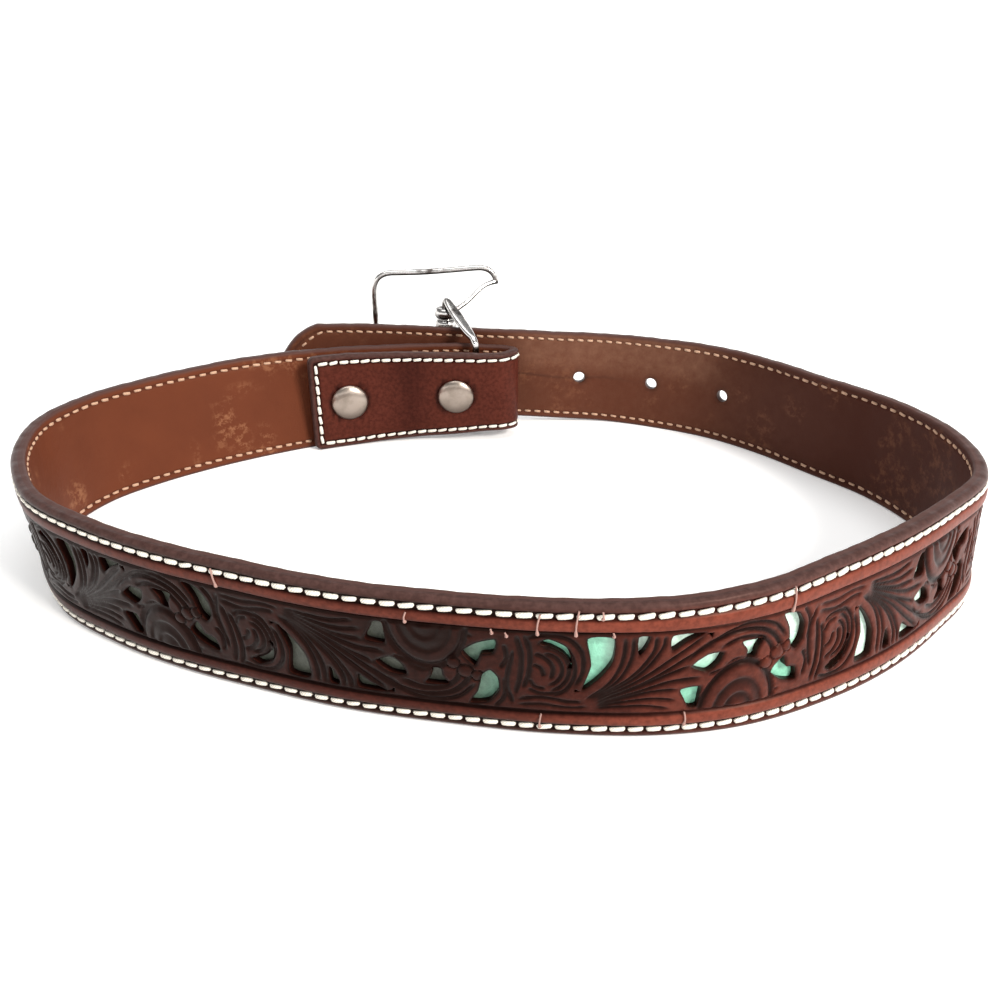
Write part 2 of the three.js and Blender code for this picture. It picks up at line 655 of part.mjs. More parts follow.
const frameRing = toSolid(wire(roundedLoop(frameCorners, FRAME_CORNER, 5), FRAME_WIRE_RADIUS, WIRE_SIDES, true));
const frameSolid = frameRing
  .subtract(toSolid(openSide))
  .add(toSolid(barrel))
  .add(toSolid(neckArm(NECK_UPPER)))
  .add(toSolid(neckArm(NECK_LOWER)));
addPiece('buckle_frame', toGeometry(frameSolid), nickel);

// The hook that the billet's hole drops onto, on the strap side of the frame's free end
const hook = addPiece('hook_post', turned([
  [0, 0],
  [HOOK.radius, 0],
  [HOOK.radius, HOOK.reach - HOOK.head],
  [HOOK.headRadius, HOOK.reach - HOOK.head],
  [HOOK.headRadius * 0.8, HOOK.reach],
  [0, HOOK.reach],
], TURNED_SIDES), nickel);
const hookFoot = frameY(FRAME_LEFT) - FRAME_WIRE_RADIUS - SEAT_GAP;
standAlong(hook, new THREE.Vector3(FRAME_LEFT, hookFoot, HOOK.height), new THREE.Vector3(0, -1, 0));

belt.position.set(-BOX_CENTRE.x, -BOX_CENTRE.y, 0);

export default belt;
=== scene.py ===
"""Rendered model of a child's western belt that stands on its edge in an open loop.

The strap is one long band of carved and pierced leather over a mint sheet, lined and stitched.
It folds round a wire bail at the back, where the buckle stands open behind the loose billet.

A place on the strap is given in millimetres by s, the length along its middle line from the
tab's end, h, the height across it from the lower edge, and d, the depth towards the grain side.
"""

import logging
from dataclasses import dataclass, replace
from enum import Enum

import bpy
import numpy as np
from mathutils import Euler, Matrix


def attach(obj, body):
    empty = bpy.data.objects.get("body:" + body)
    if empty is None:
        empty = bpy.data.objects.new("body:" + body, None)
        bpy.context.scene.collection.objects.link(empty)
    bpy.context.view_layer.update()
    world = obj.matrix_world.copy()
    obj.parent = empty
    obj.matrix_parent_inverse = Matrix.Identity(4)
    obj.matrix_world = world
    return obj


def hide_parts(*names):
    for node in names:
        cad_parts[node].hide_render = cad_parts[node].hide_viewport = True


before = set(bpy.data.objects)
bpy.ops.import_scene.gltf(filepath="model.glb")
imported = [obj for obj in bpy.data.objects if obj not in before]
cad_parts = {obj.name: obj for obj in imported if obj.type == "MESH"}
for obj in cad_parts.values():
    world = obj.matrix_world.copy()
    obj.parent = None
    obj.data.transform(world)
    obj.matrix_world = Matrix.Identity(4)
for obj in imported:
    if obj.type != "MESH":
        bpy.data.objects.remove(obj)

LOG = logging.getLogger("belt")
MM = 0.001
SEED = 7
TO_FRONT = np.array([0.0, -1.0, 0.0])

# Box centre in plan that becomes the origin, millimetres
BOX_CENTRE = (-1.781, 25.895)

# Strap sizes, millimetres
WIDTH = 32.0
THICKNESS = 3.3
SEAM_DEPTH = -0.1
TAB_CORNER = 2.5
BILLET_TAPER = 15.0
PANEL_START = 157.5
CELL_LENGTH = 58.0
CELL_COUNT = 7
CELLS_ON_LEFT = 4
CELL_LOW = 7.0
CELL_HIGH = 25.0
CELL_SPREAD = 1.1
PANEL_LOW = WIDTH / 2 + CELL_SPREAD * (CELL_LOW - WIDTH / 2)
PANEL_HIGH = WIDTH - PANEL_LOW
PANEL_END = PANEL_START + CELL_COUNT * CELL_LENGTH
HOLE_RADIUS = 2.0
HOLE_PITCH = 25.8
HOLE_COUNT = 5
LAST_HOLE_FROM_TIP = 54.1
CAP_PLACES = (12.5, 48.0)
# Where the tab's plain leather gives way to the tooled border
TOOLED = (138.0, 150.0)

Array = np.ndarray
Socket = bpy.types.NodeSocket
Material = bpy.types.Material


@dataclass(frozen=True)
class Place:
    """One place on the strap's middle line and how the band is set there, in millimetres."""

    x: float
    y: float
    lean: float
    rise: float = 0.0
    width: float = WIDTH


ROUTE = (
    Place(-61.5, 75.2, 0.5), Place(-50.0, 79.3, 1.5), Place(-38.0, 82.0, 3.0, 0.5, 31.4),
    Place(-26.0, 83.2, 3.5, 1.3, 30.4), Place(-14.0, 83.2, 3.5, 2.2, 29.2),
    Place(-5.0, 83.4, 4.0, 3.0, 28.2), Place(1.0, 84.4, 3.0, 3.2, 28.0),
    Place(4.6, 88.4, 0.0, 3.2, 28.0), Place(1.0, 92.4, -3.0, 3.2, 28.0),
    Place(-6.0, 93.4, -2.5, 3.2, 28.0), Place(-17.0, 92.6, -1.0, 2.8, 28.8),
    Place(-29.0, 90.6, 0.5, 1.3, 30.4), Place(-41.0, 88.0, 1.0, 0.5, 31.4), Place(-53.0, 84.9, 2.0),
    Place(-66.0, 79.8, 4.0), Place(-79.3, 72.7, 5.0), Place(-92.5, 63.1, 4.2),
    Place(-105.7, 50.7, 2.8), Place(-115.8, 37.1, 1.6), Place(-120.2, 21.1, 1.0),
    Place(-117.2, 4.9, 1.2), Place(-110.2, -10.1, 1.8), Place(-99.7, -24.2, 2.4),
    Place(-84.0, -35.5, 3.0), Place(-68.0, -44.1, 3.6), Place(-50.0, -51.4, 4.2),
    Place(-30.0, -58.3, 4.8), Place(-10.0, -62.5, 4.8), Place(10.0, -65.2, 4.2),
    Place(30.0, -65.2, 3.0), Place(48.0, -61.0, 0.6), Place(66.0, -51.8, -2.4),
    Place(82.0, -41.4, -3.2), Place(97.0, -28.6, -2.8), Place(110.0, -14.7, -2.2),
    Place(115.7, 2.9, -2.0), Place(115.0, 21.3, -2.2), Place(108.5, 39.3, -2.6),
    Place(97.6, 55.4, -2.2), Place(85.7, 72.7, -1.0), Place(72.3, 86.6, -0.2),
    Place(55.3, 96.3, -0.6), Place(37.7, 102.0, -1.6, 0.3), Place(21.0, 102.0, -2.6, 1.2),
    Place(7.0, 101.1, -3.2, 2.2), Place(-7.0, 100.4, -3.2, 2.9), Place(-21.0, 101.0, -2.4, 3.2),
    Place(-36.0, 102.0, -1.6, 3.5), Place(-50.0, 102.0, -1.0, 3.8), Place(-64.0, 100.2, -0.6, 4.1),
    Place(-77.0, 96.4, -0.4, 4.4),
)


class Face(Enum):
    """The two faces of the strap."""

    GRAIN = 1
    LINING = -1


def smooth_step(low: float, high: float, value: Array) -> Array:
    """Rises from 0 at low to 1 at high as 3t^2 - 2t^3.

    Args:
        low: Where the rise starts.
        high: Where the rise ends.
        value: The values to grade.

    Returns:
        The graded values, from 0 to 1.
    """
    part = np.clip((value - low) / (high - low), 0.0, 1.0)
    return part * part * (3.0 - 2.0 * part)


def bell(value: Array, middle: float | Array, width: float, power: int = 2) -> Array:
    """Falls from 1 at the middle as exp(-((value - middle) / width)^power)."""
    return np.exp(-((value - middle) / width)**power)


def arch(value: Array, middle: float, half: float) -> Array:
    """Half an oval: sqrt(1 - ((value - middle) / half)^2) inside, 0 outside."""
    return np.sqrt(np.maximum(0, 1 - ((value - middle) / half)**2))


def bend(start: Array, corner: Array, end: Array, t: Array) -> Array:
    """Quadratic curve: (1 - t)^2 start + 2 t (1 - t) corner + t^2 end."""
    return (1 - t)**2 * start + 2 * t * (1 - t) * corner + t**2 * end


def quarter_round(radius: float, near: Array) -> Array:
    """How far a round edge of the given radius has fallen, near being 0 where it starts."""
    return radius - np.sqrt(np.maximum(radius**2 - near**2, 0))


def spline(corners: Array, steps: int, closed: bool = False, tension: float = 0.5) -> Array:
    """Catmull-Rom curve: each span is the cubic whose end slopes are tension times the chord of
    the two corners beside it.

    Args:
        corners: One row for each corner, of any number of columns.
        steps: Points in each span.
        closed: Whether the curve closes on itself.
        tension: Share of the chord that each slope takes.

    Returns:
        Points along the curve; an open one ends on its last corner.
    """
    if closed:
        held = np.vstack([corners[-1:], corners, corners[:2]])
    else:
        held = np.vstack([2 * corners[:1] - corners[1:2], corners, 2 * corners[-1:] - corners[-2:-1]])
    spans = len(held) - 3
    at = np.linspace(0, spans, spans * steps + 1)
    if closed:
        at = at[:-1]
    cell = np.minimum(at.astype(int), spans - 1)
    t = (at - cell)[:, None]
    before, start, end, after = (held[cell + k] for k in range(4))
    leave = tension * (end - before)
    arrive = tension * (after - start)
    square = (-3 * start + 3 * end - 2 * leave - arrive) * t**2
    cube = (2 * start - 2 * end + leave + arrive) * t**3
    return start + leave * t + square + cube


class StrapRoute:
    """The strap's middle line through the named places, measured by length."""

    def __init__(self, places: tuple[Place, ...], steps: int = 320) -> None:
        """Samples the curve through the places.

        Args:
            places: The places in order from the tab's end.
            steps: Samples in each span.
        """
        rows = np.array([[p.x, p.y, p.lean, p.rise, p.width] for p in places])
        self.curve = spline(rows, steps)
        self.curve[:, 3] = np.maximum(0.0, self.curve[:, 3])
        self.curve[:, 4] = np.minimum(WIDTH, self.curve[:, 4])
        step = np.hypot(*np.diff(self.curve[:, :2], axis=0).T)
        self.s = np.concatenate([[0.0], np.cumsum(step)])
        self.length = float(self.s[-1])
        slope = np.gradient(self.curve[:, :2], self.s, axis=0)
        slope /= np.linalg.norm(slope, axis=1)[:, None]
        self.out = np.stack([slope[:, 1], -slope[:, 0]], axis=1)

    def points(self, s: Array, h: Array, d: Array) -> Array:
        """Places in space: the middle line plus its outward normal times depth and lean.

        Args:
            s: Lengths along the strap.
            h: Heights across it.
            d: Depths towards the grain.

        Returns:
            The points in millimetres, with a last axis of three.
        """
        s, h, d = np.broadcast_arrays(s, h, d)
        x, y, lean, rise, width = (np.interp(s, self.s, column) for column in self.curve.T)
        out_x, out_y = (np.interp(s, self.s, column) for column in self.out.T)
        away = d + lean * (h / WIDTH - 0.5)
        run = np.hypot(out_x, out_y)
        return np.stack([
            x + away * out_x / run - BOX_CENTRE[0],
            y + away * out_y / run - BOX_CENTRE[1],
            rise + width * h / WIDTH,
        ], axis=-1)


STRAP = StrapRoute(ROUTE)
LENGTH = STRAP.length
HOLE_PLACES = LENGTH - LAST_HOLE_FROM_TIP - HOLE_PITCH * np.arange(HOLE_COUNT)


def ripple(s: Array, waves: tuple[tuple[float, float], ...], seed: int) -> Array:
    """Uneven hand of the maker: a sum of sine waves with seeded phases.

    Args:
        s: Lengths in millimetres.
        waves: Pairs of wavelength and height in millimetres.
        seed: Seed of the phases.

    Returns:
        The offset at each length.
    """
    phases = np.random.default_rng(SEED + seed).uniform(0, 2 * np.pi, len(waves))
    total = np.zeros_like(s)
    for (length, height), phase in zip(waves, phases):
        total = total + height * np.sin(2 * np.pi * s / length + phase)
    return total


def mottle(u: Array, v: Array, scale: float, seed: int) -> Array:
    """Smooth noise: a random lattice of the given pitch, blended between its corners.

    Args:
        u: First coordinates in millimetres.
        v: Second coordinates in millimetres.
        scale: Lattice pitch in millimetres.
        seed: Seed of the lattice.

    Returns:
        Values between -1 and 1.
    """
    lattice = np.random.default_rng(SEED + seed).uniform(-1, 1, (257, 257))
    a = np.mod(u / scale + 31.7, 256)
    b = np.mod(v / scale + 17.3, 256)
    i = a.astype(int)
    j = b.astype(int)
    p = smooth_step(0, 1, a - i)
    q = smooth_step(0, 1, b - j)
    low = lattice[i, j] * (1 - p) + lattice[i + 1, j] * p
    high = lattice[i, j + 1] * (1 - p) + lattice[i + 1, j + 1] * p
    return low * (1 - q) + high * q


def nearest_on(u: Array, v: Array, path: Array, closed: bool) -> tuple[Array, Array, Array]:
    """Nearest place on a polyline: each point is dropped square onto every piece of it.

    Args:
        u: First coordinates.
        v: Second coordinates.
        path: Corner points of the polyline.
        closed: Whether the last corner joins the first.

    Returns:
        The signed distance, positive on the left of the path, the share of the way along it, and
        the distance's slope as two columns.
    """
    start = path if closed else path[:-1]
    end = np.roll(path, -1, axis=0) if closed else path[1:]
    piece = end - start
    squared = (piece**2).sum(1)
    flat = np.stack([u.ravel(), v.ravel()], axis=1)
    share = ((flat[:, None] - start) * piece).sum(2) / squared
    share = np.clip(share, 0, 1)
    foot = start + share[..., None] * piece
    away = flat[:, None] - foot
    distance = np.hypot(away[..., 0], away[..., 1])
    best = distance.argmin(1)
    row = np.arange(len(flat))
    chosen = away[row, best]
    side = np.sign(piece[best, 0] * chosen[:, 1] - piece[best, 1] * chosen[:, 0])
    size = distance[row, best]
    slope = chosen / np.maximum(size, 1e-9)[:, None] * side[:, None]
    part = (best + share[row, best]) / len(start)
    return (size * side).reshape(u.shape), part.reshape(u.shape), slope.reshape(u.shape + (2,))


def tip_outline() -> Array:
    """The billet's point: two quadratic curves that meet on the middle line.

    Returns:
        Corner points from the lower edge round to the upper one.
    """
    t = np.linspace(0, 1, 24)[:, None]
    corner = np.array([LENGTH - BILLET_TAPER * 0.3, WIDTH * 0.1])
    start = np.array([LENGTH - BILLET_TAPER, 0.0])
    end = np.array([LENGTH, WIDTH / 2])
    lower = bend(start, corner, end, t)
    upper = lower[::-1][1:] * [1, -1] + [0, WIDTH]
    return np.vstack([lower, upper])


TIP = tip_outline()


def edge_limits(s: Array) -> Array:
    """Height of the strap's lower edge at a length: round at the tab's corner, curved to the tip."""
    near = np.clip(TAB_CORNER - s, 0, TAB_CORNER)
    tab = quarter_round(TAB_CORNER, near)
    half = TIP[: len(TIP) // 2 + 1]
    tip = np.interp(s, half[:, 0], half[:, 1], left=0.0)
    return tab + tip


def edge_distance(s: Array, h: Array) -> Array:
    """Distance from the strap's outline, measured square to the nearest edge.

    Args:
        s: Lengths along the strap.
        h: Heights across it.

    Returns:
        The distance in millimetres.
    """
    side = np.minimum(h, WIDTH - h)
    distance = np.minimum(side, s)
    corner = (side < TAB_CORNER) & (s < TAB_CORNER)
    rounded = TAB_CORNER - np.hypot(TAB_CORNER - side, TAB_CORNER - s)
    distance = np.where(corner, rounded, distance)
    tip = s > LENGTH - BILLET_TAPER - 12
    if tip.any():
        rim = np.vstack([[LENGTH - 60, 0], TIP, [LENGTH - 60, WIDTH]])
        near, _, _ = nearest_on(s[tip], h[tip], rim, False)
        distance[tip] = np.abs(near)
    return np.maximum(distance, 0.0)


def grid_triangles(columns: int, rows: int, diagonal: Array | None = None) -> Array:
    """Two triangles for each square of a grid whose points run along its rows first.

    Args:
        columns: Number of columns.
        rows: Number of rows.
        diagonal: True for each square that is split from its second corner to its fourth.

    Returns:
        Rows of three point numbers, turned from the first axis to the second.
    """
    i, j = np.meshgrid(np.arange(columns - 1), np.arange(rows - 1), indexing="ij")
    a = (i * rows + j).ravel()
    b = a + rows
    c = b + 1
    d = a + 1
    first = np.stack([a, b, c], 1)
    second = np.stack([a, c, d], 1)
    if diagonal is not None:
        other = diagonal.ravel()
        first[other] = np.stack([a, b, d], 1)[other]
        second[other] = np.stack([b, c, d], 1)[other]
    return np.concatenate([first, second])


def tube_faces(rings: int, sides: int, closed: bool = False) -> Array:
    """Four-sided faces of a tube whose points run round its rings first.

    Args:
        rings: Number of rings of points.
        sides: Points in each ring.
        closed: Whether the last ring joins the first.

    Returns:
        Rows of four point numbers.
    """
    i, k = np.meshgrid(np.arange(rings if closed else rings - 1), np.arange(sides), indexing="ij")
    here = i * sides
    after = ((i + 1) % rings) * sides
    turned = (k + 1) % sides
    corners = (here + k, here + turned, after + turned, after + k)
    return np.stack([corner.ravel() for corner in corners], 1)


def measured(path: Array) -> Array:
    """Length along a polyline at each of its corners."""
    return np.concatenate([[0], np.cumsum(np.linalg.norm(np.diff(path, axis=0), axis=1))])


def walk(path: Array, at: Array) -> Array:
    """Points of a polyline at the given lengths along it."""
    reach = measured(path)
    return np.stack([np.interp(at, reach, column) for column in path.T], 1)


def pierced_triangles(gap: Array) -> Array:
    """A grid's triangles outside its openings, split along the rims, where the gap is 0."""
    on_rim = gap == 0
    triangles = grid_triangles(*gap.shape, on_rim[1:, :-1] & on_rim[:-1, 1:])
    return triangles[gap.ravel()[triangles].sum(1) > 1e-9]


def rim_edges(triangles: Array) -> Array:
    """Edges that only one triangle has, in that triangle's direction."""
    edges = triangles[:, [0, 1, 1, 2, 2, 0]].reshape(-1, 2)
    size = int(edges.max()) + 1
    key = edges.min(1).astype(np.int64) * size + edges.max(1)
    _, inverse, counts = np.unique(key, return_inverse=True, return_counts=True)
    return edges[counts[inverse] == 1]


@dataclass
class Sheet:
    """A patch of the strap's surface: flat coordinates, depths and shading for each point."""

    s: Array
    h: Array
    d: Array
    tone: Array
    edge: Array
    triangles: Array

    def add_wall(self, edges: Array, depths: tuple[float, ...], tones: tuple[float, ...]) -> None:
        """Carries the rim down in steps: each rim point is copied at each depth, and each step is
        joined to the one above by two triangles per edge.

        Args:
            edges: Rim edges in their triangles' direction.
            depths: Depth of each step.
            tones: Shading of each step.
        """
        rim, places = np.unique(edges, return_inverse=True)
        places = places.reshape(edges.shape)
        above = edges
        for depth, tone in zip(depths, tones):
            base = len(self.s)
            self.s = np.concatenate([self.s, self.s[rim]])
            self.h = np.concatenate([self.h, self.h[rim]])
            self.d = np.concatenate([self.d, np.full(len(rim), depth)])
            self.tone = np.concatenate([self.tone, np.full(len(rim), tone)])
            self.edge = np.concatenate([self.edge, np.ones(len(rim))])
            below = base + places
            p, q = above[:, 0], above[:, 1]
            r, t = below[:, 0], below[:, 1]
            step = [np.stack([q, p, r], 1), np.stack([q, r, t], 1)]
            self.triangles = np.concatenate([self.triangles, *step])
            above = below

    def compact(self) -> None:
        """Drops the points that no triangle uses."""
        used, places = np.unique(self.triangles, return_inverse=True)
        self.triangles = places.reshape(self.triangles.shape)
        for name in ("s", "h", "d", "tone", "edge"):
            setattr(self, name, getattr(self, name)[used])

    def place(self, piece: "Piece", **shades: Array) -> None:
        """Bends the patch round the strap and makes it a piece that carries its shading."""
        points = STRAP.points(self.s, self.h, self.d)
        piece.place(points, self.triangles, {"tone": self.tone, "edge": self.edge, **shades})


@dataclass
class Piece:
    """One finished piece of the belt."""

    name: str
    body: str
    slot: str
    material: Material
    nodes: tuple[str, ...] = ()

    def place(self, points: Array, faces: Array, shades: dict[str, Array] | None = None,
              uv: Array | None = None) -> None:
        """Makes the mesh in metres, with smooth faces, and hangs it on its body. On metal, the painted
        top light rises from 0 where the face looks down to 1 where it looks up, as painted shade.

        Args:
            points: Points in millimetres.
            faces: Rows of three or four point numbers.
            shades: Named values for each point that the material reads.
            uv: Map coordinates for each point.
        """
        mesh = bpy.data.meshes.new(self.name)
        count, corners = faces.shape
        mesh.vertices.add(len(points))
        mesh.vertices.foreach_set("co", (points * MM).astype(np.float32).ravel())
        mesh.loops.add(count * corners)
        mesh.loops.foreach_set("vertex_index", faces.astype(np.int32).ravel())
        mesh.polygons.add(count)
        mesh.polygons.foreach_set("loop_start", np.arange(0, count * corners, corners, dtype=np.int32))
        mesh.polygons.foreach_set("use_smooth", np.ones(count, dtype=bool))
        for name, values in (shades or {}).items():
            self.store(mesh, name, values)
        mesh.update(calc_edges=True)
        if uv is not None:
            layer = mesh.uv_layers.new(name="UVMap")
            layer.data.foreach_set("uv", uv[faces.ravel()].astype(np.float32).ravel())
        mesh.validate()
        if self.slot.endswith("metal"):
            normals = np.empty(3 * len(points), dtype=np.float32)
            mesh.vertices.foreach_get("normal", normals)
            # Painted shade on metal: the colour is lighter where the face looks up, darker where it
            # looks down.
            self.store(mesh, "painted_top_light", smooth_step(-0.5, 0.3, normals[2::3]))
        mesh.materials.append(self.material)
        piece = bpy.data.objects.new(self.name, mesh)
        bpy.context.scene.collection.objects.link(piece)
        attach(piece, self.body)
        if self.nodes:
            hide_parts(*self.nodes)
        LOG.info("%s: %d points, %d faces", self.name, len(points), count)

    @staticmethod
    def store(mesh: bpy.types.Mesh, name: str, values: Array) -> None:
        """Stores one number for each point under a name."""
        layer = mesh.attributes.new(name, "FLOAT", "POINT")
        layer.data.foreach_set("value", values.astype(np.float32))


class NodeBook:
    """Shorthand for building one node material."""

    def __init__(self, name: str) -> None:
        """Starts a material with a bare Principled shader.

        Args:
            name: The material's name.
        """
        self.material = bpy.data.materials.new(name)
        self.material.use_nodes = True
        self.tree = self.material.node_tree
        self.shader = self.tree.nodes["Principled BSDF"]

    def node(self, kind: str, **settings: object) -> bpy.types.Node:
        """A new node with its plain settings."""
        made = self.tree.nodes.new(kind)
        for name, value in settings.items():
            setattr(made, name, value)
        return made

    def link(self, source: Socket, target: Socket) -> None:
        """Joins two sockets."""
        self.tree.links.new(source, target)

    def value_of(self, attribute: str) -> Socket:
        """The number stored on each point under a name."""
        return self.node("ShaderNodeAttribute", attribute_name=attribute).outputs["Fac"]

    def pattern(self, kind: str, result: str, **inputs: float) -> Socket:
        """A texture on the object's own coordinates.

        Args:
            kind: The texture node.
            result: Name of the output that is wanted.
            **inputs: The node's number inputs.

        Returns:
            The texture's value.
        """
        where = self.node("ShaderNodeTexCoord")
        made = self.node(kind)
        for name, value in inputs.items():
            made.inputs[name].default_value = value
        self.link(where.outputs["Object"], made.inputs["Vector"])
        return made.outputs[result]

    def noise(self, scale: float, detail: float = 3.0, rough: float = 0.55) -> Socket:
        """Noise: waves in a metre, number of finer layers, and how strong they are."""
        return self.pattern("ShaderNodeTexNoise", "Fac", Scale=scale, Detail=detail, Roughness=rough)

    def cells(self, scale: float) -> Socket:
        """Distance to the nearest cell centre, with so many cells in a metre."""
        return self.pattern("ShaderNodeTexVoronoi", "Distance", Scale=scale)

    def plug(self, socket: Socket, value: object) -> None:
        """Gives a socket its source, colour or number."""
        if isinstance(value, Socket):
            self.link(value, socket)
        elif isinstance(value, tuple):
            socket.default_value = (*value, 1.0)
        else:
            socket.default_value = value

    def math(self, operation: str, *values: object) -> Socket:
        """One sum on numbers or sockets."""
        made = self.node("ShaderNodeMath", operation=operation)
        for socket, value in zip(made.inputs, values):
            self.plug(socket, value)
        return made.outputs[0]

    def ramp(self, source: Socket, stops: list[tuple[float, tuple | float]]) -> Socket:
        """Colours by value.

        Args:
            source: The value that picks the colour.
            stops: Pairs of position and linear colour, or one number for a grey.

        Returns:
            The colour.
        """
        made = self.node("ShaderNodeValToRGB")
        elements = made.color_ramp.elements
        while len(elements) < len(stops):
            elements.new(0.5)
        for element, (position, colour) in zip(elements, stops):
            element.position = position
            element.color = (*(colour if isinstance(colour, tuple) else (colour,) * 3), 1.0)
        self.link(source, made.inputs["Fac"])
        return made.outputs["Color"]

    def mix(self, share: object, first: object, second: object, blend: str = "MIX") -> Socket:
        """Mixes two colours.

        Args:
            share: Value or socket for the second colour's share.
            first: First colour or socket.
            second: Second colour or socket.
            blend: How they are mixed.

        Returns:
            The mixed colour.
        """
        made = self.node("ShaderNodeMix", data_type="RGBA", blend_type=blend)
        for number, value in ((0, share), (6, first), (7, second)):
            self.plug(made.inputs[number], value)
        return made.outputs[2]

    def bump(self, layers: list[tuple[Socket, float, float]]) -> None:
        """Chains bump layers into the shader's normal.

        Args:
            layers: Height socket, strength and depth in metres for each layer.
        """
        last = None
        for height, strength, depth in layers:
            made = self.node("ShaderNodeBump")
            made.inputs["Strength"].default_value = strength
            made.inputs["Distance"].default_value = depth
            self.link(height, made.inputs["Height"])
            if last is not None:
                self.link(last, made.inputs["Normal"])
            last = made.outputs["Normal"]
        self.link(last, self.shader.inputs["Normal"])

    def set(self, **values: object) -> None:
        """Sets the shader's own sockets, with underscores for spaces in their names."""
        for name, value in values.items():
            self.shader.inputs[name.replace("_", " ")].default_value = value

    def feed(self, name: str, source: Socket) -> None:
        """Links a source into one of the shader's sockets."""
        self.link(source, self.shader.inputs[name])

    def roughen(self, roughness: float, spread: float, cloud: Socket) -> None:
        """Lets the roughness wander about its middle with a noise."""
        self.feed("Roughness", self.math("MULTIPLY_ADD", cloud, spread, roughness - spread / 2))


@dataclass(frozen=True)
class CarvedLeather:
    """Oxblood grain leather: painted shade in its cuts, a redder painted highlight on its ridges,
    grey-brown at its edges.
    """

    cut: tuple = (0.006, 0.0022, 0.0018)
    flat: tuple = (0.043, 0.0098, 0.0066)
    ridge: tuple = (0.150, 0.036, 0.022)
    edge: tuple = (0.062, 0.032, 0.028)
    clouding: float = 0.16
    roughness: float = 0.34

    def material(self) -> Material:
        """Builds the node material from the point values tone and edge."""
        book = NodeBook("carved_leather")
        tone = book.value_of("tone")
        cloud = book.noise(55, 4)
        speck = book.noise(900, 2)
        lift = book.math("MULTIPLY_ADD", cloud, self.clouding, -self.clouding / 2)
        graded = book.math("ADD", tone, lift)
        # Painted light: the tone runs from the shaded cut colour through the flat one to the highlighted
        # ridge colour.
        colour = book.ramp(graded, [(0.06, self.cut), (0.5, self.flat), (0.96, self.ridge)])
        colour = book.mix(book.value_of("edge"), colour, self.edge)
        fleck = book.ramp(speck, [(0.35, 0.72), (0.65, 1.1)])
        book.feed("Base Color", book.mix(1.0, colour, fleck, "MULTIPLY"))
        book.roughen(self.roughness, 0.22, cloud)
        book.bump([(book.cells(2100), 0.1, 0.0001), (book.noise(700, 5), 0.14, 0.00014)])
        book.set(Specular_IOR_Level=0.085, Specular_Tint=(1.0, 0.56, 0.45, 1.0))
        return book.material


@dataclass(frozen=True)
class LiningLeather:
    """Brown lining leather with rubbed and scuffed places, painted shade in its grooves, and
    painted shade over the stretch that faces away from the light.
    """

    groove: tuple = (0.01, 0.005, 0.004)
    deep: tuple = (0.034, 0.0085, 0.006)
    flat: tuple = (0.125, 0.034, 0.015)
    rubbed: tuple = (0.210, 0.085, 0.042)
    soil: tuple = (0.200, 0.098, 0.062)
    edge: tuple = (0.070, 0.034, 0.029)
    roughness: float = 0.485

    def material(self) -> Material:
        """Builds the node material from the point values tone, wear, soil, painted_shade and edge;
        the tone paints shade in the grooves.
        """
        book = NodeBook("lining_leather")
        cloud = book.noise(70, 5)
        # Painted shade: the tone darkens the lining towards the groove colour in the stitch groove,
        # round the holes and in the crease.
        stops = [(0.0, self.groove), (0.5, self.flat), (1.0, self.flat)]
        colour = book.ramp(book.value_of("tone"), stops)
        colour = book.mix(book.math("MULTIPLY", cloud, 0.4), colour, self.deep)
        # Painted shade over the stretch of lining that faces away from the light.
        colour = book.mix(book.value_of("painted_shade"), colour, self.deep)
        scuff = book.ramp(book.noise(420, 6, 0.7), [(0.48, 0.0), (0.62, 1.0)])
        worn = book.math("MULTIPLY", scuff, book.value_of("wear"))
        colour = book.mix(worn, colour, self.rubbed)
        soiled = book.math("MULTIPLY", book.value_of("soil"), book.noise(300, 6, 0.7))
        colour = book.mix(soiled, colour, self.soil)
        book.feed("Base Color", book.mix(book.value_of("edge"), colour, self.edge))
        book.roughen(self.roughness, 0.25, cloud)
        book.bump([(book.cells(1500), 0.12, 0.0001), (book.noise(500, 6, 0.65), 0.3, 0.0002)])
        book.set(Specular_IOR_Level=0.11, Specular_Tint=(1.0, 0.62, 0.48, 1.0))
        return book.material


@dataclass(frozen=True)
class MintLeather:
    """Thin mint coloured leather with a fine pebbled face."""

    # The soiled colour at the left is partly soil and partly painted shade.
    soiled: tuple = (0.060, 0.066, 0.050)
    fresh: tuple = (0.26, 0.62, 0.44)
    pale: tuple = (0.66, 0.86, 0.74)

    def material(self) -> Material:
        """Builds the node material from the point value fade_and_shade."""
        book = NodeBook("mint_leather")
        stops = [(0.0, self.soiled), (0.5, self.fresh), (1.0, self.pale)]
        colour = book.ramp(book.value_of("fade_and_shade"), stops)
        grain = book.ramp(book.noise(600, 4), [(0.35, 0.72), (0.6, 1.0)])
        book.feed("Base Color", book.mix(1.0, colour, grain, "MULTIPLY"))
        book.bump([(book.cells(2600), 0.3, 0.0002), (book.noise(1500, 3), 0.3, 0.0002)])
        book.set(Roughness=0.5, Specular_IOR_Level=0.4)
        return book.material


@dataclass(frozen=True)
class Thread:
    """Waxed sewing thread with its twist."""

    name: str
    light: tuple
    shade: tuple

    def material(self) -> Material:
        """Builds the node material; the twist runs slantwise over the stitch's own map."""
        book = NodeBook(self.name)
        wave = book.node("ShaderNodeTexWave", wave_type="BANDS", bands_direction="DIAGONAL")
        wave.inputs["Scale"].default_value = 3.2
        wave.inputs["Distortion"].default_value = 1.0
        where = book.node("ShaderNodeTexCoord")
        book.link(where.outputs["UV"], wave.inputs["Vector"])
        twist = wave.outputs["Fac"]
        book.feed("Base Color", book.ramp(twist, [(0.0, self.shade), (0.6, self.light)]))
        book.bump([(twist, 0.5, 0.00012)])
        book.set(Roughness=0.62, Specular_IOR_Level=0.3)
        return book.material


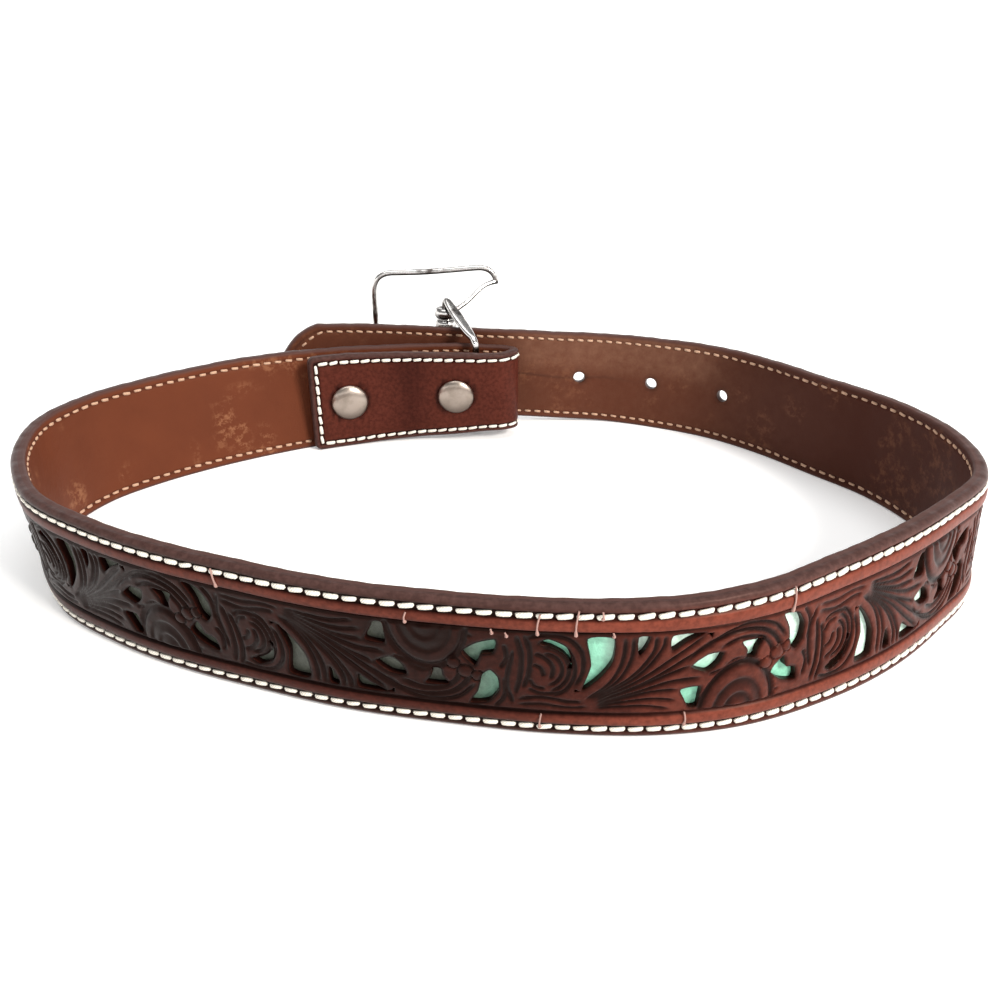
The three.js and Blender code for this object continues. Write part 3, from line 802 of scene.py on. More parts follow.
@dataclass(frozen=True)
class Nickel:
    """Plated metal with fine handling marks, painted shade where it looks down, and blotches of painted
    dark reflection in its colour.
    """

    name: str
    bright: tuple
    dull: tuple
    shadow: tuple
    roughness: float

    def material(self) -> Material:
        """Builds the node material from the point value painted_top_light, which paints shade on faces
        that look down.
        """
        book = NodeBook(self.name)
        cloud = book.noise(160, 5, 0.6)
        # Painted reflection: on the bright nickel the dull colour stands in for the dark the metal would
        # mirror; on the dull nickel the blotches are mild.
        plate_with_painted_reflection = book.ramp(cloud, [(0.34, self.dull), (0.5, self.bright)])
        # Painted shade: faces that look down take the shadow colour.
        book.feed("Base Color", book.mix(book.value_of("painted_top_light"), self.shadow, plate_with_painted_reflection))
        book.roughen(self.roughness, 0.2, book.noise(500, 5, 0.7))
        book.bump([(book.noise(900, 4), 0.08, 0.0001)])
        book.set(Metallic=1.0)
        return book.material


@dataclass(frozen=True)
class Cut:
    """One bevelled cut of the swivel knife: a line through corner points, sunk on one side.

    The line is [along, height] in the cell. bevel is how far the slope runs out on its left side
    (right if negative), in millimetres, and depth is how deep the line is sunk.
    """

    corners: tuple[tuple[float, float], ...]
    bevel: float = 0.9
    depth: float = 0.42


@dataclass(frozen=True)
class Dome:
    """One raised oval: centre, half sizes, height and number of petal rings."""

    along: float
    height: float
    half_along: float
    half_height: float
    lift: float
    rings: int = 0


class ScrollCell:
    """One repeat of the carved floral scroll, worked out on a fine grid."""

    OPENINGS = {
        "tall_crescent": ((12.8, 23.7), (17.3, 23.8), (17.4, 19.0), (15.4, 15.4), (12.3, 12.4),
                          (13.7, 18.0)),
        "fan_slit": ((21.6, 24.0), (23.6, 24.0), (23.0, 21.6), (21.9, 20.2)),
        "fan_wedge": ((27.6, 24.0), (33.4, 24.0), (30.2, 22.4), (27.8, 20.8)),
        "stem_lens": ((31.8, 17.0), (34.6, 19.2), (37.6, 19.2), (36.9, 17.0), (34.9, 15.5)),
        "bud_gate": ((41.2, 20.7), (45.6, 20.5), (44.6, 18.6), (44.3, 17.0), (42.6, 17.1), (42.4, 18.9)),
        "petal_gate": ((30.4, 12.2), (34.0, 12.5), (34.2, 10.0), (34.0, 8.0), (32.4, 8.0), (31.2, 10.2)),
        "spandrel": ((50.8, 15.4), (48.4, 12.8), (51.2, 10.4), (54.6, 9.4), (54.2, 12.2), (51.9, 12.9)),
        "teardrop": ((49.6, 24.2), (53.0, 23.6), (55.0, 20.8), (54.9, 17.8), (53.5, 16.2), (52.0, 17.6),
                     (51.2, 21.2)),
        "scroll_slit": ((4.4, 22.4), (6.0, 23.4), (9.2, 21.8), (10.2, 18.6), (8.6, 20.4), (6.6, 21.6)),
    }
    # Depths in millimetres: an opening's rim, the line round a dome, one between its petals
    RIM_FALL = 0.22
    MOAT = 0.45
    PETAL_LINE = 0.32
    FAN = (
        Cut(((19.2, 24.4), (19.0, 19.0), (17.0, 14.2), (12.8, 10.2)), 0.8),
        Cut(((20.6, 24.4), (20.5, 19.4), (18.2, 14.4), (13.0, 10.1)), 0.8),
        Cut(((24.6, 24.4), (24.2, 20.6), (20.6, 15.4), (13.4, 10.0)), 0.9),
        Cut(((26.2, 24.4), (25.6, 21.0), (21.8, 15.6), (13.8, 9.9)), 0.8),
        Cut(((33.6, 23.6), (28.6, 19.8), (22.0, 14.6), (14.0, 9.8)), 0.9),
        Cut(((36.0, 22.0), (31.0, 19.4), (23.6, 14.4), (14.2, 9.6)), 0.9),
        Cut(((31.4, 17.4), (27.0, 15.6), (21.2, 12.8), (14.2, 9.4)), 0.8),
        Cut(((34.0, 14.6), (28.0, 14.2), (21.6, 12.0), (14.4, 9.2)), 0.9),
        Cut(((30.0, 12.4), (25.0, 12.2), (20.0, 10.9), (14.6, 9.0)), 0.8),
        Cut(((29.8, 10.0), (25.0, 10.6), (20.0, 10.0), (14.6, 8.8)), 0.7),
        Cut(((28.6, 8.2), (24.0, 9.0), (19.4, 8.9), (14.8, 8.5)), 0.6),
    )
    SCROLL = (
        Cut(((30.4, 18.0), (34.6, 21.4), (40.0, 23.0), (45.6, 22.0), (49.0, 18.8), (49.4, 15.6)),
            1.0, 0.5),
        Cut(((33.0, 20.6), (37.6, 23.4), (42.6, 24.4), (47.6, 23.0), (51.0, 19.4)), -0.8, 0.45),
        Cut(((36.6, 20.0), (40.4, 21.4), (44.6, 20.9), (47.2, 18.6), (47.6, 16.4)), 0.9, 0.42),
        Cut(((38.4, 16.0), (40.2, 17.2), (42.2, 17.0)), 0.7, 0.36),
        Cut(((35.2, 14.8), (38.0, 15.6), (41.0, 16.6)), 0.7, 0.36),
    )
    TAIL = (
        Cut(((50.8, 9.0), (46.0, 8.2), (40.0, 7.9)), 0.6, 0.3),
        Cut(((57.6, 23.6), (56.4, 19.4), (56.8, 15.0), (57.8, 11.0)), 0.9, 0.4),
        Cut(((0.4, 24.2), (1.4, 20.0), (1.2, 15.0), (0.2, 10.6)), -0.9, 0.4),
        Cut(((0.4, 9.6), (5.0, 10.4), (9.6, 9.6), (12.4, 9.6)), 0.8, 0.36),
        Cut(((0.4, 8.4), (5.0, 8.8), (9.6, 8.3), (13.6, 8.6)), 0.6, 0.3),
        Cut(((55.3, 15.4), (56.4, 13.0), (56.0, 10.0)), 0.8, 0.4),
        Cut(((54.2, 24.4), (56.0, 21.6), (56.0, 17.4)), 0.8, 0.4),
        Cut(((1.6, 24.4), (2.6, 20.4), (2.4, 16.0), (1.4, 12.2)), 0.9, 0.42),
        Cut(((2.4, 12.6), (4.6, 11.6), (7.4, 11.7), (9.8, 12.6)), -0.8, 0.4),
        Cut(((2.6, 14.6), (3.6, 12.9), (5.6, 12.4)), 0.7, 0.36),
        Cut(((3.4, 20.2), (5.4, 19.2), (6.7, 17.2), (6.4, 14.6)), 0.9, 0.42),
        Cut(((3.2, 17.8), (4.6, 17.0), (5.2, 15.2)), 0.8, 0.38),
        Cut(((2.0, 23.4), (5.4, 24.2), (9.4, 23.4), (11.8, 20.4), (12.0, 16.4), (10.6, 13.0)),
            0.9, 0.45),
    )
    DOMES = (
        Dome(41.9, 6.4, 7.2, 9.8, 0.5, 2),
        Dome(49.0, 16.8, 1.5, 1.4, 0.5),
        Dome(46.8, 15.2, 1.3, 1.2, 0.45),
        Dome(51.2, 17.6, 1.1, 1.2, 0.4),
    )

    def __init__(self, pitch: float = 0.25) -> None:
        """Works out the relief and the openings of one upright cell.

        Args:
            pitch: Grid pitch in millimetres.
        """
        self.pitch = pitch
        along = np.linspace(0, CELL_LENGTH, int(round(CELL_LENGTH / pitch)) + 1)
        height = np.linspace(CELL_LOW, CELL_HIGH, int(round((CELL_HIGH - CELL_LOW) / pitch)) + 1)
        self.u, self.v = np.meshgrid(along, height, indexing="ij")
        self.cuts = self.FAN + self.SCROLL + self.TAIL + self.scroll_arcs()
        self.relief, self.lifted = self.carve()
        self.gap, self.shift = self.pierce()
        self.relief = self.relief - self.RIM_FALL * bell(np.maximum(self.gap, 0), 0, 0.35)

    @staticmethod
    def scroll_arcs() -> tuple[Cut, ...]:
        """The round scroll at the start of the cell: three arcs about one centre, opening left.

        Returns:
            One cut for each arc.
        """
        angles = np.radians(np.linspace(-78, 96, 8))
        arcs = []
        for radius in (3.3, 4.5, 5.6):
            corners = zip(5.4 + radius * np.cos(angles), 16.8 + radius * 1.12 * np.sin(angles))
            arcs.append(Cut(tuple(corners), 0.85, 0.42))
        return tuple(arcs)

    def carve(self) -> tuple[Array, Array]:
        """Relief of the cell: each cut sinks the face by its depth times a steep fall on one side
        and a long slope on the other, faded at both ends, and each dome lifts it.

        Returns:
            Height above the plain grain face, and the part of it that is a dome's, in millimetres.
        """
        relief = np.zeros_like(self.u)
        lifted = np.zeros_like(self.u)
        for cut in self.cuts:
            path = spline(np.array(cut.corners), 8)
            side, part, _ = nearest_on(self.u, self.v, path, False)
            side = side * np.sign(cut.bevel)
            wide = abs(cut.bevel)
            shape = np.where(side > 0, bell(side, 0, 0.62 * wide), bell(side, 0, 0.22))
            ends = np.minimum(smooth_step(-0.02, 0.12, part), smooth_step(-0.02, 0.12, 1 - part))
            relief = np.minimum(relief, -1.15 * cut.depth * shape * ends)
        for dome in self.DOMES:
            along = (self.u - dome.along) / dome.half_along
            reach = np.hypot(along, (self.v - dome.height) / dome.half_height)
            raised = dome.lift * arch(reach, 0, 1)
            moat = -self.MOAT * bell(reach, 1.02, 0.07)
            rings = np.zeros_like(reach)
            for ring in range(dome.rings):
                fall = reach - (0.36 + 0.3 * ring)
                rings = rings - self.PETAL_LINE * bell(fall, 0, np.where(fall > 0, 0.05, 0.16))
            inside = reach < 1.12
            lifted = np.where(inside, raised - 0.08, lifted)
            relief = np.where(inside, raised + moat + rings - 0.12, relief)
        frame_line = np.minimum(self.v - CELL_LOW, CELL_HIGH - self.v)
        hold = smooth_step(0.0, 0.7, frame_line)
        return relief * hold - 0.3 * (1 - smooth_step(0.0, 0.55, frame_line)), lifted * hold

    def pierce(self) -> tuple[Array, Array]:
        """Distance to the nearest opening's rim, and the move that lays near points on it.

        Returns:
            The signed distance, negative inside an opening, and the moves as two columns.
        """
        gap = np.full_like(self.u, 9.0)
        slope = np.zeros(self.u.shape + (2,))
        for corners in self.OPENINGS.values():
            path = spline(np.array(corners), 5, closed=True, tension=0.35)
            low = path.min(0) - 1.5
            high = path.max(0) + 1.5
            near = (self.u > low[0]) & (self.u < high[0]) & (self.v > low[1]) & (self.v < high[1])
            u, v = self.u[near], self.v[near]
            side, _, lean = nearest_on(u, v, path, True)
            after = np.roll(path, -1, axis=0)
            turn = -np.sign((path[:, 0] * after[:, 1] - after[:, 0] * path[:, 1]).sum())
            closer = side * turn < gap[near]
            gap[near] = np.where(closer, side * turn, gap[near])
            slope[near] = np.where(closer[:, None], lean * turn, slope[near])
        on_rim = np.abs(gap) < 0.5 * self.pitch
        shift = np.where(on_rim[..., None], -gap[..., None] * slope, 0.0)
        gap = np.where(on_rim, 0.0, gap)
        return gap, shift


def lay_cells(values: Array, flip: float = 1.0) -> Array:
    """Lays one cell's values end to end, each second cell turned upside down.

    Args:
        values: The cell's values.
        flip: Factor that a turned cell's values take.

    Returns:
        The values over the whole panel.
    """
    strips = []
    for cell in range(CELL_COUNT):
        turned = values[:, ::-1] * flip if cell % 2 else values
        strips.append(turned if cell == CELL_COUNT - 1 else turned[:-1])
    return np.concatenate(strips)


@dataclass
class StrapLeather:
    """The strap's leather: the grain layer with its border, the carved panel and the lining.

    The two edges are rounding radii, the three lines are distances from the strap's edge, and
    frame_fall is how deep the panel is pressed along its frame.
    """

    grain_edge: float = 1.15
    lining_edge: float = 0.7
    stitch_line: float = 2.35
    tab_stitch_line: float = 2.3
    ridge_line: float = 4.55
    frame_fall: float = 0.3
    inlay_reach: float = 4.0
    inlay_rows: tuple = (5.5, 26.5)
    inlay_depths: tuple = (0.04, -0.08)

    def stitch_distance(self, s: Array) -> Array:
        """How far from the edge the stitch line runs: closer on the tab than on the strap."""
        part = smooth_step(85, 110, s)
        return self.tab_stitch_line + part * (self.stitch_line - self.tab_stitch_line)

    def columns(self) -> Array:
        """Places of the grid's columns along the strap: close at the ends, the fold and the holes.

        Returns:
            The lengths in millimetres.
        """
        edge = self.grain_edge * (1 - np.cos(np.linspace(0, np.pi / 2, 6)))
        parts = [edge, np.arange(1.2, 4.4, 0.3), np.arange(5.2, 57, 0.9), np.arange(57, 88, 0.6)]
        parts += [np.arange(88.6, 150, 1.0), np.arange(150, PANEL_START - 0.4, 0.7), [PANEL_START]]
        parts += [np.linspace(PANEL_START, PANEL_END, 420)[1:-1], [PANEL_END]]
        plain = np.arange(PANEL_END + 0.8, LENGTH - BILLET_TAPER, 0.9)
        for hole in HOLE_PLACES:
            plain = plain[np.abs(plain - hole) > 3.1]
            parts.append(hole + np.linspace(-3.1, 3.1, 21))
        parts += [plain, LENGTH - BILLET_TAPER * (1 - np.linspace(0, 1, 34)**0.72)]
        joined = np.unique(np.round(np.concatenate(parts), 4))
        keep = np.concatenate([[True], np.diff(joined) > 0.03])
        return joined[keep]

    def rows(self) -> Array:
        """Heights of the grid's rows: close in the border, and again across the holes."""
        edge = self.grain_edge * (1 - np.cos(np.linspace(0, np.pi / 2, 6)))
        border = np.concatenate([edge, np.linspace(1.4, PANEL_LOW, 22)])
        middle = np.concatenate([[9.0, 11.0], np.linspace(12.9, 19.1, 19), [21.0, 23.0]])
        return np.concatenate([border, middle, (WIDTH - border)[::-1]])

    def grid(self) -> tuple[Array, Array]:
        """The grid's points: rows are squeezed between the outline's edges at the two ends."""
        s, row = np.meshgrid(self.columns(), self.rows(), indexing="ij")
        low = edge_limits(s)
        return s, low + (WIDTH - 2 * low) * row / WIDTH

    def border(self, s: Array, h: Array, away: Array) -> Array:
        """Relief of the border: a groove for the stitches, a round ridge, a step down to the
        panel, and a pressed ring round each snap cap.

        Args:
            s: Lengths along the strap.
            h: Heights across it.
            away: Distances from the outline.

        Returns:
            Height above the plain grain face.
        """
        groove = -0.42 * bell(away, self.stitch_distance(s), 0.84, 4)
        ridge = 0.34 * arch(away, self.ridge_line, 1.35)
        line = -0.34 * smooth_step(5.65, 6.0, away)
        to_cap = np.minimum(np.abs(s - CAP_PLACES[0]), np.abs(s - CAP_PLACES[1]))
        dent = -0.35 * bell(np.hypot(to_cap, h - WIDTH / 2), 6.2, 0.5)
        return groove + dent + smooth_step(*TOOLED, s) * (ridge + line)

    def lining_relief(self, s: Array, h: Array, away: Array) -> Array:
        """Relief of the lining: the stitches' groove, the holes' pressed rims, and a crease that
        runs along the holes.

        Args:
            s: Lengths along the strap.
            h: Heights across it.
            away: Distances from the outline.

        Returns:
            Height above the plain lining.
        """
        groove = -0.22 * bell(away, self.stitch_distance(s), 0.5)
        reach = np.hypot(np.abs(s[..., None] - HOLE_PLACES).min(-1), h - WIDTH / 2)
        rims = 0.3 * bell(reach, HOLE_RADIUS, 0.9)
        crease = smooth_step(HOLE_PLACES[3], HOLE_PLACES[2], s)
        crease = crease * smooth_step(LENGTH - 40, LENGTH - 60, s)
        wander = h - WIDTH / 2 - 0.4 * np.sin(s / 5)
        return groove - rims - 0.2 * crease * bell(wander, 0, 0.5)

    @staticmethod
    def cut_grid(s: Array, h: Array, window: bool) -> tuple[Array, Array, Array]:
        """Cuts the billet's holes, and the carved panel's window where asked.

        Args:
            s: Lengths of the grid's points.
            h: Heights of the grid's points.
            window: Whether the panel's window is cut out.

        Returns:
            The moved lengths and heights, and the triangles that are kept.
        """
        offset = s[..., None] - HOLE_PLACES
        nearest = np.abs(offset).argmin(-1)
        away = np.take_along_axis(offset, nearest[..., None], -1)[..., 0]
        rise = h - WIDTH / 2
        reach = np.hypot(away, rise)
        gap = reach - HOLE_RADIUS
        on_rim = np.abs(gap) < 0.17
        pull = np.where(on_rim, HOLE_RADIUS / np.maximum(reach, 0.1), 1.0)
        s = s + away * (pull - 1)
        h = WIDTH / 2 + rise * pull
        triangles = pierced_triangles(np.where(on_rim, 0.0, gap))
        if window:
            middle_s = s.ravel()[triangles].mean(1)
            middle_h = h.ravel()[triangles].mean(1)
            inside = (middle_s > PANEL_START) & (middle_s < PANEL_END)
            inside &= (middle_h > PANEL_LOW) & (middle_h < PANEL_HIGH)
            triangles = triangles[~inside]
        return s, h, triangles

    def layer(self, side: Face) -> Sheet:
        """One face of the strap with its rounded edge, carried down to the seam between the layers.

        Args:
            side: Which face.

        Returns:
            The face's patch, with its walls.
        """
        s, h = self.grid()
        away = edge_distance(s, h)
        grain = side is Face.GRAIN
        s, h, triangles = self.cut_grid(s, h, grain)
        radius = self.grain_edge if grain else self.lining_edge
        if grain:
            relief = self.border(s, h, away)
            waves = 0.05 * mottle(s, h, 9, 1)
            steps = (0.4, 0.1, SEAM_DEPTH)
        else:
            relief = self.lining_relief(s, h, away)
            waves = 0.09 * mottle(s, h, 12, 2) + 0.04 * mottle(s, h, 3, 3)
            steps = (-0.85, -0.35, SEAM_DEPTH)
            triangles = triangles[:, ::-1]
        # Painted light from the relief: painted shade in grooves, dents and creases, a painted highlight
        # on what stands up.
        tone = 0.5 + np.where(relief < 0, relief * 1.1, relief * 1.5)
        # On the grain: the tab's own lighter colour, painted light and shade along the front, and
        # painted shade on the lower border.
        if grain:
            tone = tone + self.tab_tone(s) + self.painted_front_light(s) - self.low_border_shade(s, h)
        fall = quarter_round(radius, np.clip(radius - away, 0, radius))
        depth = side.value * (THICKNESS / 2 + relief + waves * smooth_step(0, 2, away) - fall)
        edge = 1 - smooth_step(radius * 0.3, radius * 1.7, away)
        sheet = Sheet(s.ravel(), h.ravel(), depth.ravel(), tone.ravel(), edge.ravel(), triangles)
        sheet.add_wall(rim_edges(triangles), steps, (0.5, 0.42, 0.0))
        sheet.compact()
        wave = 0.06 * ripple(sheet.s, ((4.1, 0.5), (7.7, 0.7), (19.0, 0.8)), 4)
        near_edge = np.clip(1 - edge_distance(sheet.s, sheet.h) / 2.2, 0, 1)
        sheet.h = sheet.h + wave * near_edge * (sheet.h > WIDTH / 2)
        return sheet

    def panel(self) -> Sheet:
        """The carved and pierced panel, with walls down to the inlay.

        Returns:
            The panel's patch.
        """
        cell = ScrollCell()
        relief = lay_cells(cell.relief)
        move_s = lay_cells(cell.shift[..., 0])
        move_h = CELL_SPREAD * lay_cells(cell.shift[..., 1], -1.0)
        columns, rows = relief.shape
        along = np.linspace(PANEL_START, PANEL_END, columns)
        s, h = np.meshgrid(along, np.linspace(PANEL_LOW, PANEL_HIGH, rows), indexing="ij")
        side = np.minimum(h - PANEL_LOW, PANEL_HIGH - h)
        free = smooth_step(0.0, 0.8, np.minimum(side, np.minimum(s - PANEL_START, PANEL_END - s)))
        uneven = 0.05 * mottle(s, h, 9, 1)
        pores = 0.03 * mottle(s, h, 1.3, 5)
        relief = relief * free - self.frame_fall * (1 - free) + uneven * free + pores * free
        triangles = pierced_triangles(lay_cells(cell.gap))
        carved = relief - lay_cells(cell.lifted)
        # Painted shade in the cuts, moats, rims and along the frame, a painted highlight on raised
        # relief, and painted light along the front.
        tone = 0.47 + np.where(carved < 0, carved * 1.5, carved * 0.85) + self.painted_front_light(s)
        depth = THICKNESS / 2 + relief
        sheet = Sheet((s + move_s).ravel(), (h + move_h).ravel(), depth.ravel(), tone.ravel(),
                      np.zeros(s.size), triangles)
        # Painted shade: the openings' walls darken as they go down.
        sheet.add_wall(rim_edges(triangles), (1.35, 1.0, 0.03), (0.42, 0.2, 0.05))
        sheet.edge[:] = 0
        sheet.compact()
        return sheet

    def build(self, grain: Material, lining: Material, mint: Material) -> None:
        """Makes the strap's pieces.

        Args:
            grain: Material of the grain layer.
            lining: Material of the lining.
            mint: Material of the inlay.
        """
        slot, node = "tooled_leather", ("tooled_strap",)
        self.layer(Face.GRAIN).place(Piece("strap_grain", "strap", slot, grain, node))
        panel = self.panel()
        left = panel.s[panel.triangles].mean(1) < PANEL_START + CELLS_ON_LEFT * CELL_LENGTH
        for name, chosen in (("carved_panel_left", left), ("carved_panel_right", ~left)):
            half = replace(panel, triangles=panel.triangles[chosen])
            half.compact()
            half.place(Piece(name, "strap", slot, grain, node))
        inner = self.layer(Face.LINING)
        piece = Piece("strap_lining", "strap", "lining_leather", lining, ("lining",))
        inner.place(piece, **self.wear(inner))
        self.build_inlay(mint)

    @staticmethod
    def tab_tone(s: Array) -> Array:
        """The tab is lighter than the strap, apart from a dark band between its caps."""
        return 0.12 * smooth_step(*TOOLED[::-1], s) * (1 - bell(s, 33, 5.5))

    @staticmethod
    def low_border_shade(s: Array, h: Array) -> Array:
        """Painted shade: the lower border is darker at the left of the front."""
        return 0.2 * (h < WIDTH / 2) * smooth_step(440, 400, s) * smooth_step(240, 260, s)

    @staticmethod
    def painted_front_light(s: Array) -> Array:
        """Painted light along the front: painted shade at the left, painted light and redder colour at
        the right.
        """
        front = smooth_step(225, 260, s) * smooth_step(560, 520, s)
        return front * (-0.27 - 0.06 * smooth_step(340, 300, s) + 0.47 * smooth_step(368, 428, s))

    @staticmethod
    def wear(sheet: Sheet) -> dict[str, Array]:
        """Where the lining is rubbed, where it is soiled and where shade is painted on it.

        Args:
            sheet: The lining's patch.

        Returns:
            The point values wear, soil and painted_shade.
        """
        s, h = sheet.s, sheet.h
        patches = smooth_step(0.1, 0.7, mottle(s, h, 11, 6) + 0.5 * mottle(s, h, 4, 7))
        back_left = smooth_step(125, 150, s) * smooth_step(300, 260, s)
        back_right = smooth_step(620, 640, s) * smooth_step(715, 690, s) * smooth_step(15, 24, h)
        return {
            "wear": np.clip(0.25 * patches + 0.75 * patches * back_left, 0, 1),
            "soil": np.clip(0.65 * back_right + 0.25 * smooth_step(560, 640, s), 0, 1),
            # Painted shade on the stretch of lining that faces away from the light.
            "painted_shade": 0.88 * smooth_step(440, 520, s) * (1 - 0.45 * smooth_step(605, 650, s)),
        }

    def build_inlay(self, mint: Material) -> None:
        """Makes the mint sheet: a thin slab that follows the strap behind the carved panel.

        Args:
            mint: Its material.
        """
        along = np.linspace(PANEL_START - self.inlay_reach, PANEL_END + self.inlay_reach, 420)
        s, h = np.meshgrid(along, np.linspace(*self.inlay_rows, 14), indexing="ij")
        front, back = (STRAP.points(s, h, depth).reshape(-1, 3) for depth in self.inlay_depths)
        triangles = grid_triangles(*s.shape)
        count = len(front)
        p, q = rim_edges(triangles).T
        walls = np.concatenate([np.stack([q, p, p + count], 1), np.stack([q, p + count, q + count], 1)])
        faces = np.concatenate([triangles, triangles[:, ::-1] + count, walls])
        piece = Piece("mint_sheet", "strap", "mint_inlay", mint, ("inlay_sheet",))
        fade_and_shade = np.tile(self.ageing_and_shade(s, h).ravel(), 2)
        piece.place(np.vstack([front, back]), faces, {"fade_and_shade": fade_and_shade})

    @staticmethod
    def ageing_and_shade(s: Array, h: Array) -> Array:
        """How the inlay has aged and is shaded: soiled and in painted shade at the left, fresh in
        the middle and pale at the right, where its upper part turns pale first.

        Args:
            s: Lengths along the strap.
            h: Heights across it.

        Returns:
            0 where it is soiled and in painted shade, 0.5 where it is fresh mint, 1 where it is pale.
        """
        fresh = 0.5 * smooth_step(376, 400, s)
        pale_above = 0.5 * smooth_step(404, 410, s) * smooth_step(13, 21, h)
        pale_all = 0.5 * smooth_step(450, 462, s)
        return fresh + np.maximum(pale_above, pale_all)


@dataclass
class Stitching:
    """Two rows of lockstitch all round the strap, seen on both faces."""

    leather: StrapLeather
    pitch: float = 3.45
    length: float = 3.0
    width: float = 1.25
    height: float = 0.7

    def path(self) -> Array:
        """The stitch line as flat points, from the billet's tip round the tab and back.

        Returns:
            Rows of length and height, evenly dense.
        """
        line = self.leather.stitch_distance
        end = LENGTH - BILLET_TAPER - 2
        s = np.arange(end, self.leather.tab_stitch_line + 1.2, -0.5)
        lower = np.stack([s, line(s)], 1)
        tab = self.leather.tab_stitch_line
        side = np.linspace(tab + 1.0, WIDTH - tab - 1.0, 60)
        end_row = np.stack([np.full_like(side, tab), side], 1)
        upper = np.stack([s[::-1], WIDTH - line(s[::-1])], 1)
        t = np.linspace(0, 1, 20)[1:, None]
        corner = np.array([LENGTH - BILLET_TAPER * 0.3 - 3.4, WIDTH * 0.9 - 2.4])
        last = np.array([LENGTH - 4.4, WIDTH / 2])
        over = bend(upper[-1], corner, last, t)
        under = over[::-1][1:] * [1, -1] + [0, WIDTH]
        return np.vstack([lower, end_row, upper, over, under])

    def template(self, shrink: float) -> tuple[Array, Array, Array]:
        """One stitch: a bar with blunt round ends. Its half width is (1 - t^8)^(1/2) of the full
        one, its middle sinks as t^6, and its section is an ellipse.

        Args:
            shrink: Size of the stitch against the full one.

        Returns:
            Points as [along, across, out], faces and map coordinates.
        """
        t = np.array([-1.0, -0.94, -0.78, 0.0, 0.78, 0.94, 1.0])
        sides = 6
        angle = np.linspace(0, 2 * np.pi, sides, endpoint=False) + np.pi / sides
        half = np.sqrt(np.maximum(1 - t**8, 0.14))
        along = np.repeat(t * self.length / 2, sides).reshape(-1, sides) * shrink
        across = half[:, None] * np.cos(angle) * self.width / 2 * shrink
        out = half[:, None] * np.sin(angle) * self.height / 2 * shrink - 0.3 * (t**6)[:, None]
        points = np.stack([along, across, out], -1).reshape(-1, 3)
        uv = np.stack([np.repeat(t * 0.5, sides), np.tile(np.arange(sides) / sides, len(t))], 1)
        return points, tube_faces(len(t), sides)[:, [0, 3, 2, 1]], uv

    def row(self, name: str, side: Face, thread: Material, shrink: float) -> None:
        """Sets stitches along the whole line on one face.

        Args:
            name: Piece name.
            side: The face that they stand on.
            thread: Their material.
            shrink: Size against the full stitch.
        """
        path = self.path()
        total = measured(path)[-1]
        count = int(total / self.pitch)
        rng = np.random.default_rng(SEED + side.value)
        where = (np.arange(count) + 0.5) * total / count
        middle = walk(path, where)
        direction = walk(path, where + 0.4) - middle
        direction /= np.linalg.norm(direction, axis=1)[:, None]
        turn = rng.normal(0.09, 0.045, count)
        cos, sin = np.cos(turn), np.sin(turn)
        direction = np.stack([direction[:, 0] * cos - direction[:, 1] * sin,
                              direction[:, 0] * sin + direction[:, 1] * cos], 1)
        square = np.stack([-direction[:, 1], direction[:, 0]], 1)
        points, faces, uv = self.template(shrink)
        size = rng.uniform(0.93, 1.03, (count, 1, 1))
        fat = rng.uniform(0.82, 1.04, (count, 1, 1))
        flat = middle[:, None] + size * points[:, :1] * direction[:, None]
        flat = flat + fat * points[:, 1:2] * square[:, None]
        lift = THICKNESS / 2 - 0.02 + points[:, 2]
        placed = STRAP.points(flat[..., 0], flat[..., 1], side.value * lift).reshape(-1, 3)
        every = (faces + np.arange(count)[:, None, None] * len(points)).reshape(-1, 4)
        every = every if side is Face.LINING else every[:, ::-1]
        slot = "tooled_leather" if side is Face.GRAIN else "lining_leather"
        Piece(name, "strap", slot, thread).place(placed, every, uv=np.tile(uv, (count, 1)))

    def build(self, white: Material, tan: Material) -> None:
        """Makes both rows.

        Args:
            white: Thread on the grain side.
            tan: Thread on the lining side.
        """
        self.row("stitches_outside", Face.GRAIN, white, 1.0)
        self.row("stitches_inside", Face.LINING, tan, 0.74)


def lathe(profile: Array, foot: Array, axis: Array, sides: int) -> tuple[Array, Array]:
    """Turns a profile about an axis; the profile's first and last points lie on the axis.

    Args:
        profile: Rows of radius and distance along the axis.
        foot: Where the axis starts.
        axis: Its direction.
        sides: Points round the axis.

    Returns:
        Points and four-sided faces.
    """
    axis = axis / np.linalg.norm(axis)
    helper = np.array([0.0, 0.0, 1.0]) if abs(axis[2]) < 0.9 else np.array([1.0, 0.0, 0.0])
    first = np.cross(helper, axis)
    first /= np.linalg.norm(first)
    second = np.cross(axis, first)
    angle = np.linspace(0, 2 * np.pi, sides, endpoint=False)
    ring = np.cos(angle)[:, None] * first + np.sin(angle)[:, None] * second
    points = foot + profile[:, None, 1:] * axis + profile[:, None, :1] * ring
    return points.reshape(-1, 3), tube_faces(len(profile), sides)


